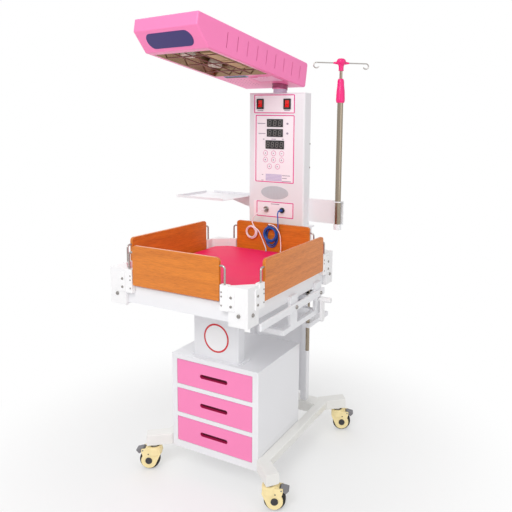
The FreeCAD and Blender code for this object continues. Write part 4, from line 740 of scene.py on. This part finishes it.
lamp("key", (500, -2600, 2900), (0, 0, 800), 1.8, 50)
lamp("fill", (2600, -900, 1500), (0, 0, 800), 1.6, 8)
lamp("back", (-2200, 1800, 2400), (0, 0, 900), 1.6, 10)
print("lamps", len(bpy.data.lights))

# %% [markdown]
# ## The mattress
# The mattress is foam in a welded vinyl cover. It is full, so it has a low crown and soft
# edges, its sides pull in a little between the corners, and its corners are cut to clear
# the corner posts. It starts as a closed form that is slightly too small. Air pressure in
# a cloth simulation then fills the cover; the underside stays on the deck.

# %% Outline of the mattress
MATTRESS_CORNERS = [(213, -300), (268, -252), (268, 252), (213, 300), (-213, 300), (-268, 252), (-268, -252),
                    (-213, -300)]
MATTRESS_LOW = 812.6


def mattress_ring(inset):
    """Plan of the cover at one height: rounded corners, long sides pulled in by 3 mm."""
    points = []
    for k, (ax, ay) in enumerate(MATTRESS_CORNERS):
        bx, by = MATTRESS_CORNERS[(k + 1) % len(MATTRESS_CORNERS)]
        length = math.hypot(bx - ax, by - ay)
        inward = ((ay - by) / length, (bx - ax) / length)
        steps = 24 if length > 200 else 8
        for step in range(steps):
            t = (step + 0.5) / steps
            pull = 3.0 * math.sin(math.pi * t) * min(1, length / 300) + inset
            points.append((ax + (bx - ax) * t + inward[0] * pull, ay + (by - ay) * t + inward[1] * pull))
    return points


CROWN = [(812.6, 9), (814.5, 3.5), (819, 0.8), (830, 0), (839, 0.6), (844.8, 3.4), (847.8, 9), (849.2, 20), (850.2, 50),
         (851.0, 110), (851.4, 180)]
bm = bmesh.new()
rings = [[bm.verts.new(at(x, y, z)) for x, y in mattress_ring(inset)] for z, inset in CROWN]
span(bm, rings)
cover_mesh = finished(bm, "mattress_cover")
cover = bpy.data.objects.new("mattress_cover", cover_mesh)
bpy.context.scene.collection.objects.link(cover)
print("cover points", len(cover_mesh.vertices))

# %% [markdown]
# An even net of small faces lets the cover swell evenly, so the form is remeshed first.
# The simulation runs for 20 frames without gravity, then each point's move is capped, so
# that the sides stay clear of the walls.

# %% Fill the cover
SWELL_CAP = 0.0045
remesh = cover.modifiers.new("even net", "REMESH")
remesh.mode = "VOXEL"
remesh.voxel_size = 0.006
cover.data = bpy.data.meshes.new_from_object(cover.evaluated_get(bpy.context.evaluated_depsgraph_get()))
cover.modifiers.clear()
before = [vertex.co.copy() for vertex in cover.data.vertices]
cloth = cover.modifiers.new("cloth", "CLOTH")
cloth.settings.use_pressure = True
cloth.settings.uniform_pressure_force = 4.0
cloth.settings.effector_weights.gravity = 0.0
cloth.settings.mass = 0.3
cloth.settings.tension_stiffness = cloth.settings.compression_stiffness = 15
for moment in range(1, 21):
    bpy.context.scene.frame_set(moment)
swollen = bpy.data.meshes.new_from_object(cover.evaluated_get(bpy.context.evaluated_depsgraph_get()))
cover.modifiers.clear()
for vertex, old, new in zip(cover.data.vertices, before, [v.co.copy() for v in swollen.vertices]):
    move = new - old
    if move.length > SWELL_CAP:
        move *= SWELL_CAP / move.length
    vertex.co = old + move
bpy.context.scene.frame_set(1)
highest = max(vertex.co.z for vertex in cover.data.vertices)
low_z = at(0, 0, MATTRESS_LOW).z
stretch = (at(0, 0, 852.8).z - low_z) / (highest - low_z)
for vertex in cover.data.vertices:
    vertex.co.z = low_z + max(0.0, vertex.co.z - low_z) * stretch
smooth_net = cover.modifiers.new("finer net", "SUBSURF")
smooth_net.levels = smooth_net.render_levels = 1
cover.data = bpy.data.meshes.new_from_object(cover.evaluated_get(bpy.context.evaluated_depsgraph_get()))
cover.modifiers.clear()
cover.data.shade_smooth()
cover.data.materials.clear()
cover.data.materials.append(vinyl)
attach(cover, "bed")
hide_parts("mattress")
print("mattress faces", len(cover.data.polygons), "height swell", round(stretch, 3))

# %% [markdown]
# ## Plugs, cords and sensors
# A moulded plug has a ribbed grip and a tapered sleeve that keeps the cord from kinking.
# The white cord's plug is metal and white, as in the photograph. The blue one's is black and
# blue there; here its grip and its sleeve are both blue.

# %% Plugs
SOCKET_X, SOCKET_Z, PLUG_BACK = {"white": -54, "blue": 27}, 1018, 356.2


def plug(name, x, radius, body_finish, sleeve_finish, lead):
    """A plug with a grooved grip, and its sleeve along the first part of the lead."""
    bm = bmesh.new()
    grip = [(0, 0), (6, 0), (6, 7)]
    for groove in range(4):
        low = 7.5 + 2.6 * groove
        grip += [(5.5, low), (5.5, low + 0.9), (6, low + 1.3), (6, low + 2.3)]
    grip += [(5.6, 19.0), (4.6, 20.6), (0, 20.6)]
    turned(bm, at(x, PLUG_BACK, SOCKET_Z), (0, -1, 0), grip, steps=40)
    body = piece(name, finished(bm, name), "warmer_stand")
    body.data.materials.append(body_finish)
    bm = bmesh.new()
    direction = (at(*lead[1]) - at(*lead[0])).normalized()
    sleeve = [(0, -4.5), (4.4, -4.5), (4.3, -1)]
    for rib in range(5):
        low = -0.5 + 2.2 * rib
        thin = radius + 1.3 - 0.22 * rib
        sleeve += [(thin - 0.45, low), (thin - 0.45, low + 0.9), (thin, low + 1.2), (thin, low + 1.9)]
    sleeve += [(radius + 0.25, 11.4), (radius + 0.1, 12), (0, 12)]
    turned(bm, at(*lead[0]), direction, sleeve, steps=32)
    boot = piece(name + "_sleeve", finished(bm, name + "_sleeve"), "warmer_stand")
    boot.data.materials.append(sleeve_finish)
    return body, boot


white_plug, white_boot = plug("plug_white", SOCKET_X["white"], WHITE_RADIUS, wire_steel, white_silicone, WHITE_CORD)
blue_plug, blue_boot = plug("plug_blue", SOCKET_X["blue"], BLUE_RADIUS, blue_cap, blue_silicone, BLUE_CORD)
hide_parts("sensor_plugs")

# %% Sensor tips and the joint between the blue cord and the thin lead
def sensor_tip(name, route, body):
    """A steel sensor bead in a moulded holder at the end of a lead."""
    end, along = at(*route[-1]), (at(*route[-1]) - at(*route[-2])).normalized()
    bm = bmesh.new()
    turned(bm, end, along,
           [(0, -5), (2.3, -5), (2.6, -3), (3.0, 0), (3.2, 1.5), (3.2, 9), (2.9, 9.8), (0, 9.8)], steps=28)
    holder = piece(name, finished(bm, name), body)
    holder.data.materials.append(lever_plastic)
    bm = bmesh.new()
    turned(bm, end, along, [(0, 9.6), (2.5, 9.6), (2.5, 12.4), (2.2, 13.4), (1.4, 14.1), (0, 14.3)], steps=28)
    bead = piece(name + "_bead", finished(bm, name + "_bead"), body)
    bead.data.materials.append(wire_steel)
    return holder, bead


white_tip = sensor_tip("tip_white", WHITE_TAIL, "bed")
thin_tip = sensor_tip("tip_thin", PROBE_LEAD, "bed")
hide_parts("sensor_tips")
joint_start = at(*BLUE_CORD[-1])
joint_along = (at(*PROBE_LEAD[0]) - joint_start).normalized()
joint_length = (at(*PROBE_LEAD[0]) - joint_start).length * 1000
bm = bmesh.new()
turned(bm, joint_start, joint_along,
       [(0, -3), (3.0, -3), (3.6, -1.5), (3.8, 0), (3.8, joint_length - 1), (3.2, joint_length + 1),
        (2.5, joint_length + 4), (0, joint_length + 4)], steps=28)
cord_joint = dressed(bm, "cord_joint", "bed", lever_plastic)
print("joint length", round(joint_length, 1))

# %% Finishes of the cords
for thing, material in ((white_cord, white_silicone), (blue_cord, blue_silicone), (thin_cord, white_silicone)):
    thing.data.materials.clear()
    thing.data.materials.append(material)
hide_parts("white_lead", "white_coil")
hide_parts("blue_lead", "blue_coil")
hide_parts("sensor_tails")

# %% [markdown]
# ## Printed fronts
# The front of the control box carries three printed plates with a magenta border, three
# windows with unlit digits, eight keys and a bare oval plate. A picture of the print
# would be blurred close up, so every mark is a thin closed form that lies on its plate.
# The words of the photograph are left out: short plain bars stand where they were.

# %% Borders of the three plates
FACE_Y, FRONT = 357.2, (0, -1, 0)
BORDERS = {"switch": (-121, 83, 1442, 1522.6), "key": (-113, 82.5, 1139.4, 1434.4), "socket": (-106, 83, 984.3, 1053.7)}
bm = bmesh.new()
for left, right_side, low, high in BORDERS.values():
    middle = at((left + right_side) / 2, FACE_Y, (low + high) / 2)
    half_x, half_z = (right_side - left) / 2, (high - low) / 2
    strip(bm, middle, FRONT, rounded_outline(half_x, half_z, 4), rounded_outline(half_x - 4.4, half_z - 3.8, 1.5), 0.15)
dressed(bm, "front_borders", "warmer_stand", magenta_ink)
print("borders", len(BORDERS))

# %% [markdown]
# An unlit digit shows as a faint eight of seven bars. Each bar is a flat hexagon, leaned
# a little to the right as on common displays.

# %% Unlit digits
WINDOWS = ((1400, 3, 25.5), (1357, 3, 25.5), (1306, 4, 22.5))
WINDOW_X, WINDOW_Y = -14, 355.2
bm = bmesh.new()
slab(bm, at(WINDOW_X, FACE_Y, 1306), FRONT, rounded_outline(46.5, 18.6, 1.5), 2.3, edge=0.4)
dressed(bm, "wide_window", "warmer_stand", black_plastic)
bm = bmesh.new()
for z, digits, pitch in WINDOWS:
    half_w, half_h = (6.6, 10.5) if digits == 3 else (6.0, 11.0)
    for k in range(digits):
        x = WINDOW_X + (k - (digits - 1) / 2) * pitch
        for a, b, flat in ((0, 1, True), (0, 0, True), (0, -1, True), (-1, 0.5, False), (1, 0.5, False),
                           (-1, -0.5, False), (1, -0.5, False)):
            long_half, thin = (half_w - 1.6, 1.3) if flat else (half_h / 2 - 1.6, 1.3)
            bar = [(long_half + thin, 0), (long_half, thin), (-long_half, thin), (-long_half - thin, 0),
                   (-long_half, -thin), (long_half, -thin)]
            if not flat:
                bar = [(-v, u) for u, v in bar]
            shifted = [(u + a * half_w + 0.12 * (v + b * half_h), v + b * half_h) for u, v in bar]
            slab(bm, at(x, WINDOW_Y - (0.3 if digits == 4 else 0), z), FRONT, shifted, 0.12)
dressed(bm, "display_digits", "warmer_stand", segment_ink)

# %% Key rings and marks
KEYS = [(column, row) for row, columns in enumerate(((-1, 0, 1), (-1, 0, 1), (-0.5, 0.5))) for column in columns]


def circle(radius, steps=32):
    return [(radius * math.cos(2 * math.pi * k / steps), radius * math.sin(2 * math.pi * k / steps))
            for k in range(steps)]


rings_bm, marks_bm = bmesh.new(), bmesh.new()
MARKS = ([[(0, 4), (-3.6, -2.4), (3.6, -2.4)]], [[(0, -4), (3.6, 2.4), (-3.6, 2.4)]],
         [[(-4, 1), (4, 1), (4, -1), (-4, -1)]], [[(-3, 3), (-3, -3), (3, -3), (3, 3)]],
         [[(-4, 1), (4, 1), (4, -1), (-4, -1)], [(-1, 4), (-1, -4), (1, -4), (1, 4)]],
         [[(0, 4), (-4, 0), (0, -4), (4, 0)]], [[(3, 3.6), (-3.4, 0), (3, -3.6)]], [[(-3, 3.6), (3.4, 0), (-3, -3.6)]])
for (column, row), shapes in zip(KEYS, MARKS):
    x, z = -20 + 41 * column, 1268 - 29 * row
    strip(rings_bm, at(x, FACE_Y, z), FRONT, circle(11.7), circle(10.0), 0.14)
    for shape in shapes:
        slab(marks_bm, at(x, FACE_Y - 1.4, z), FRONT, shape[::-1], 0.1)
dressed(rings_bm, "key_rings", "warmer_stand", moulded("ring ink", srgb(214, 96, 158), roughness=0.42))
dressed(marks_bm, "key_marks", "warmer_stand", grey_ink)

# %% Plain bars where the photograph has words, and the lilac table
BARS = [(-83, 1397.5, 20, 1.6), (-80, 1353.5, 18, 1.6), (48, 1398, 5, 4), (48, 1356, 5, 4), (-71, 1329, 4, 1.8),
        (-20, 1330, 12, 1.4), (26, 1331, 5, 1.6), (44, 1172, 20, 1.4), (36, 1160, 12, 1.4), (46, 1147, 23, 1.4),
        (-76, 1172, 4, 1.2), (-76, 1147, 6, 1.2), (-10, 1043, 22, 1.5), (-89, 1453, 15, 1.6), (46, 1455, 14, 1.6)]
bm = bmesh.new()
for x, z, half_x, half_z in BARS:
    slab(bm, at(x, FACE_Y, z), FRONT, rounded_outline(half_x, half_z, half_z * 0.6, 2), 0.1)
dressed(bm, "front_bars", "warmer_stand", grey_ink)
lilac_ink = moulded("lilac ink", srgb(206, 196, 226), roughness=0.45, depth=0.02)
bm = bmesh.new()
for row in range(5):
    slab(bm, at(-18.5, FACE_Y, 1173.5 - 6.2 * row), FRONT, rounded_outline(41, 2.6, 0.5, 2), 0.1)
dressed(bm, "lilac_table", "warmer_stand", lilac_ink)

# %% Bare oval plate, trim of the left socket
bm = bmesh.new()
ellipse = [(69.5 * math.cos(2 * math.pi * k / 64), 29.5 * math.sin(2 * math.pi * k / 64)) for k in range(64)]
slab(bm, at(-13.5, 358, 1094), FRONT, ellipse, 0.9, edge=0.5)
dressed(bm, "oval_plate", "warmer_stand", badge_steel)
bm = bmesh.new()
turned(bm, at(-54, FACE_Y, 1018), FRONT, [(12.05, 0.2), (13.0, 0.2), (13.0, 6.6), (12.3, 7.4), (8.2, 7.4), (7.2, 7.1),
                                         (7.2, 7.05), (12.05, 7.05)], steps=40)
dressed(bm, "socket_trim", "warmer_stand", wire_steel)

# %% [markdown]
# ## Badges
# The column's round badge and the capsule on the hood's nose keep their shapes, colours
# and rims, but they are bare.

# %% Round badge on the column
bm = bmesh.new()
slab(bm, at(-2, -89, 578.5), FRONT, circle(50.5, 64), 0.6)
dressed(bm, "column_badge", "warmer_stand", badge_white)
bm = bmesh.new()
strip(bm, at(-2, -89, 578.5), FRONT, circle(57, 64), circle(50.4, 64), 0.75)
dressed(bm, "column_badge_rim", "warmer_stand", red_enamel)

# %% [markdown]
# The hood is drawn level about its own middle. The same move that the CAD file makes puts
# a place on the hood into the model's frame, and its turn is used for directions too.

# %% Pieces on the hood
HOOD_RISE, HOOD_TURN = math.radians(9.2), math.radians(-8.3)
hood_turn = Matrix.Rotation(HOOD_TURN, 3, "Z") @ Matrix.Rotation(-HOOD_RISE, 3, "X")


def on_hood(x, y, z):
    return at(-8, 389, 1566) + hood_turn @ (Vector((x - 77, y, z)) / 1000)


def hood_slab(bm, centre, across, up, outline, depth, edge=0.0):
    """A slab whose own axes are given in the hood's directions."""
    a, b = (hood_turn @ Vector(across)).normalized(), (hood_turn @ Vector(up)).normalized()
    out = a.cross(b)
    levels = [(0, 0), (depth - edge, 0), (depth, edge)] if edge else [(0, 0), (depth, 0)]
    layers = []
    for height, inset in levels:
        layer = []
        for u, v in outline:
            reach = max(math.hypot(u, v), 1e-6)
            scale = 1 - inset / reach
            layer.append(bm.verts.new(on_hood(*centre) + (a * u * scale + b * v * scale + out * height) / 1000))
        layers.append(layer)
    span(bm, layers)


nose_up = Vector((0, -65, 62)).normalized()
nose_middle = Vector((-1, -527, 0)) + nose_up * 44.5
bm = bmesh.new()
hood_slab(bm, nose_middle, (1, 0, 0), nose_up, rounded_outline(119.5, 30.5, 30.4, 12), 1.2, edge=0.5)
dressed(bm, "hood_badge", "heater_hood", navy_enamel)
# The dark magenta sleeve round the neck is painted shade under the hood.
bm = bmesh.new()
hood_up = hood_turn @ Vector((0, 0, 1))
turned(bm, on_hood(77, 0, -0.1), -hood_up, [(33.2, 0), (36, 0), (36, 1.6), (34.4, 3.2), (33.9, 4), (33.9, 19.4),
                                           (33.2, 19.4)], steps=48)
dressed(bm, "collar_shade_sleeve", "heater_hood", paint("collar painted shade", srgb(150, 52, 100), roughness=0.4))
UNDER = ((1, 0, 0), (0, -1, 0))
bm = bmesh.new()
hood_slab(bm, (-40, -157, 0), *UNDER, rounded_outline(62, 11, 2), 2.2, edge=0.6)
dressed(bm, "sensor_frame", "heater_hood",
        moulded("pale blue frame", srgb(150, 196, 220), roughness=0.4, depth=0.02))
bm = bmesh.new()
hood_slab(bm, (-40, -157, -2.2), *UNDER, rounded_outline(58, 8, 1.5), 0.8, edge=0.3)
dressed(bm, "sensor_window", "heater_hood", black_plastic)
bm = bmesh.new()
hood_slab(bm, (82, -105, 0), *UNDER, rounded_outline(66, 42, 3), 0.4)
dressed(bm, "hood_label", "heater_hood",
        moulded("pink label", srgb(252, 190, 222), roughness=0.4, depth=0.02))
bm = bmesh.new()
hood_slab(bm, (44, -138, -0.4), *UNDER, rounded_outline(20, 6, 1), 0.15)
for x, y, half_x, half_y in ((82, -64.5, 66, 1.6), (82, -145.5, 66, 1.6), (17.6, -105, 1.6, 42),
                             (146.4, -105, 1.6, 42)):
    hood_slab(bm, (x, y, -0.4), *UNDER, rounded_outline(half_x, half_y, 0.8, 2), 0.15)
dressed(bm, "hood_label_ink", "heater_hood", magenta_ink)
# Each perforation is a flat dark disc whose colour is painted shade inside the hole.
bm = bmesh.new()
for row in range(5):
    for column in range(7):
        x, y = -146 + 19 * column + 9.5 * (row % 2), -112 + 24 * row
        if x < -6:
            hood_slab(bm, (x, y, 0), *UNDER, circle(2.6, 14), 0.12)
for x, y in ((30, -120), (52, -128), (74, -133)):
    hood_slab(bm, (x + 30, y + 8, -0.4), *UNDER, circle(2.4, 14), 0.12)
dressed(bm, "hood_holes", "heater_hood", moulded("hole shade", srgb(150, 40, 90), roughness=0.6))

# %% [markdown]
# ## Drip pole
# The mushroom hub is moulded, the hooks are bent wire. In the CAD model both are one
# node, so two pieces take its place here: the hub with its two short horns, and the wires.

# %% Hub and hook wires
POLE = (280, 390)
HUB = [(0, 1618), (10.2, 1618), (10.6, 1618.6), (10.4, 1626), (10.6, 1634), (11.8, 1640), (14.4, 1644.5), (17.6, 1648),
       (19.4, 1651), (20, 1654.5), (19.6, 1658.5), (18, 1662.5), (15, 1665.8), (10.5, 1668), (5, 1668.8), (0, 1669)]
bm = bmesh.new()
turned(bm, at(*POLE, 0), (0, 0, 1), HUB, steps=48)
for side in (1, -1):
    lean = (side * math.cos(math.radians(30)), side * math.sin(math.radians(30)), 0)
    horn = [(0, 14), (6.2, 14), (5.6, 20), (4.4, 26), (3.7, 31), (3.4, 33), (0, 33.4)]
    turned(bm, at(*POLE, 1650), lean, horn, steps=24)
hub = dressed(bm, "hook_hub", "drip_mast", hot_pink)
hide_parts("pole_hooks")
for side, label in ((1, "right"), (-1, "left")):
    curve = bpy.data.curves.new("hook_" + label, "CURVE")
    curve.dimensions = "3D"
    run = [(12, 0), (40, 0), (70, 0), (96, 0)]
    run += [(103 + 11 * math.sin(math.radians(a)), -11 + 11 * math.cos(math.radians(a))) for a in range(0, 251, 25)]
    spline = curve.splines.new("POLY")
    spline.points.add(len(run) - 1)
    for point, (out, drop) in zip(spline.points, run):
        place = at(POLE[0] + side * out * math.cos(math.radians(30)), POLE[1] + side * out * math.sin(math.radians(30)),
                   1650 + drop)
        point.co = (*place, 1)
    curve.bevel_depth = 0.0026
    curve.bevel_resolution = 5
    curve.use_fill_caps = True
    line = bpy.data.objects.new("hook_line", curve)
    bpy.context.scene.collection.objects.link(line)
    wire_mesh = bpy.data.meshes.new_from_object(line)
    bpy.data.objects.remove(line)
    wire = piece("hook_wire_" + label, wire_mesh, "drip_mast")
    wire.data.materials.append(wire_steel)
    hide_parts("pole_hooks")

# %% [markdown]
# ## Drawer grips
# The slot of each drawer has a pink lining, darkened as painted shade: it lies inside the
# slot and ends in a nearly black back of painted shade, so the slot reads as deep.

# %% Linings of the finger slots
def stadium(half, radius, steps=10):
    """An outline with two round ends."""
    points = []
    for side in (1, -1):
        for k in range(steps + 1):
            angle = math.pi * k / steps - math.pi / 2
            points.append((side * (half - radius + radius * math.cos(angle)), side * radius * math.sin(angle)))
    return points


# The slot's back plate is nearly black as painted shade.
slot_back_painted_shade = moulded("slot back painted shade", srgb(92, 8, 42), roughness=0.6)
for number, name in enumerate(("top", "middle", "low")):
    centre_z = 471 - 119 * number - 49.5
    bm = bmesh.new()
    strip(bm, at(0, -98.2, centre_z), FRONT, stadium(63.9, 8.4), stadium(63.2, 7.7), 12.2)
    dressed(bm, "grip_lining_" + name, "drawer_" + name, lining_pink_and_painted_shade)
    bm = bmesh.new()
    slab(bm, at(0, -98.1, centre_z), FRONT, stadium(63.0, 7.6), 0.5)
    dressed(bm, "grip_painted_shade_" + name, "drawer_" + name, slot_back_painted_shade)

# %% [markdown]
# ## Castor fittings
# Each castor gets a charcoal hub cap on both sides, a steel bush round its stem, a thin
# black ring of painted shade where the stem sits in its recess, and two small screws. They
# are made about the swivel axis of the castor and moved under its leg, so the four sets are alike.

# %% Hub caps, bushes and screws
CASTORS = {"front_left": (-1, -1, 205), "front_right": (1, -1, 25), "rear_left": (-1, 1, 140), "rear_right": (1, 1, 25)}
for name, (side_x, side_y, heading) in CASTORS.items():
    splay = math.radians(41 if side_y > 0 else 38)
    swivel_x = side_x * (220 + 62 * math.cos(splay))
    swivel_y = (432 if side_y > 0 else -102) + side_y * 62 * math.sin(splay)
    spin = Matrix.Rotation(math.radians(heading), 3, "Z")
    on_castor = lambda x, y, z: at(swivel_x, swivel_y, 0) + spin @ (Vector((x, y, z)) / 1000)
    caps_bm, screws_bm = bmesh.new(), bmesh.new()
    for side in (1, -1):
        outward = spin @ Vector((0, side, 0))
        turned(caps_bm, on_castor(20, side * 22, 40), outward,
               [(0, 0), (13.2, 0), (13.2, 0.6), (12.4, 1.3), (9.6, 1.5), (9.2, 0.9), (3.6, 0.9), (3.2, 1.7), (0, 1.8)])
        turned(screws_bm, on_castor(22, side * 20, 67), outward,
               [(0, -0.5), (2.6, -0.5), (2.6, 0.6), (2.0, 1.1), (0, 1.2)], 16)
    dressed(caps_bm, "hub_cap_" + name, "wheel_" + name, hub_plastic)
    dressed(screws_bm, "castor_screws_" + name, "castor_" + name, hub_plastic)
    # A thin black ring on top of the housing is painted shade in the stem's recess.
    bm = bmesh.new()
    turned(bm, on_castor(0, 0, 92), (0, 0, 1), [(12.1, 0.1), (18.8, 0.1), (18.8, 0.7), (12.1, 0.7)], steps=40)
    dressed(bm, "castor_recess_shade_" + name, "castor_" + name, black_plastic)
    bm = bmesh.new()
    turned(bm, on_castor(0, 0, 92), (0, 0, 1), [(12.05, 1), (14.2, 1), (14.2, 11), (13.4, 12), (12.05, 12)], steps=40)
    dressed(bm, "castor_bush_" + name, "castor_" + name, wire_steel)

# %% [markdown]
# ## Small screws
# The guide brackets are held by three small domed screws each, and the side of the
# control box by two.

# %% Screws on the brackets and the box
bm = bmesh.new()
DOME = [(0, -0.6), (3.1, -0.6), (3.1, 0.5), (2.4, 1.3), (1.2, 1.6), (0, 1.7)]
for side in (-1, 1):
    for end in (-1, 1):
        for z in (852.5, 838, 808):
            turned(bm, at(end * 194, side * 328, z), (0, side, 0), DOME, 14)
            turned(bm, at(side * 296, end * 233, z), (side, 0, 0), DOME, 14)
for side, x in ((1, 300), (-1, -300)):
    for y in (-10, 196):
        turned(bm, at(x, y, 727), (side, 0, 0), [(0, 0), (7.2, 0), (7.2, 3.2), (6.2, 4.7), (3, 5.2), (0, 5.3)], 24)
dressed(bm, "bracket_screws", "bed", bolt_steel)
bm = bmesh.new()
for z in (1313, 1210):
    turned(bm, at(131, 412, z), (1, 0, 0), [(0, -0.6), (3.6, -0.6), (3.6, 0.6), (2.6, 1.5), (0, 1.7)], 18)
    turned(bm, at(-147, 412, z), (-1, 0, 0), [(0, -0.6), (3.6, -0.6), (3.6, 0.6), (2.6, 1.5), (0, 1.7)], 18)
dressed(bm, "box_screws", "warmer_stand", bolt_steel)
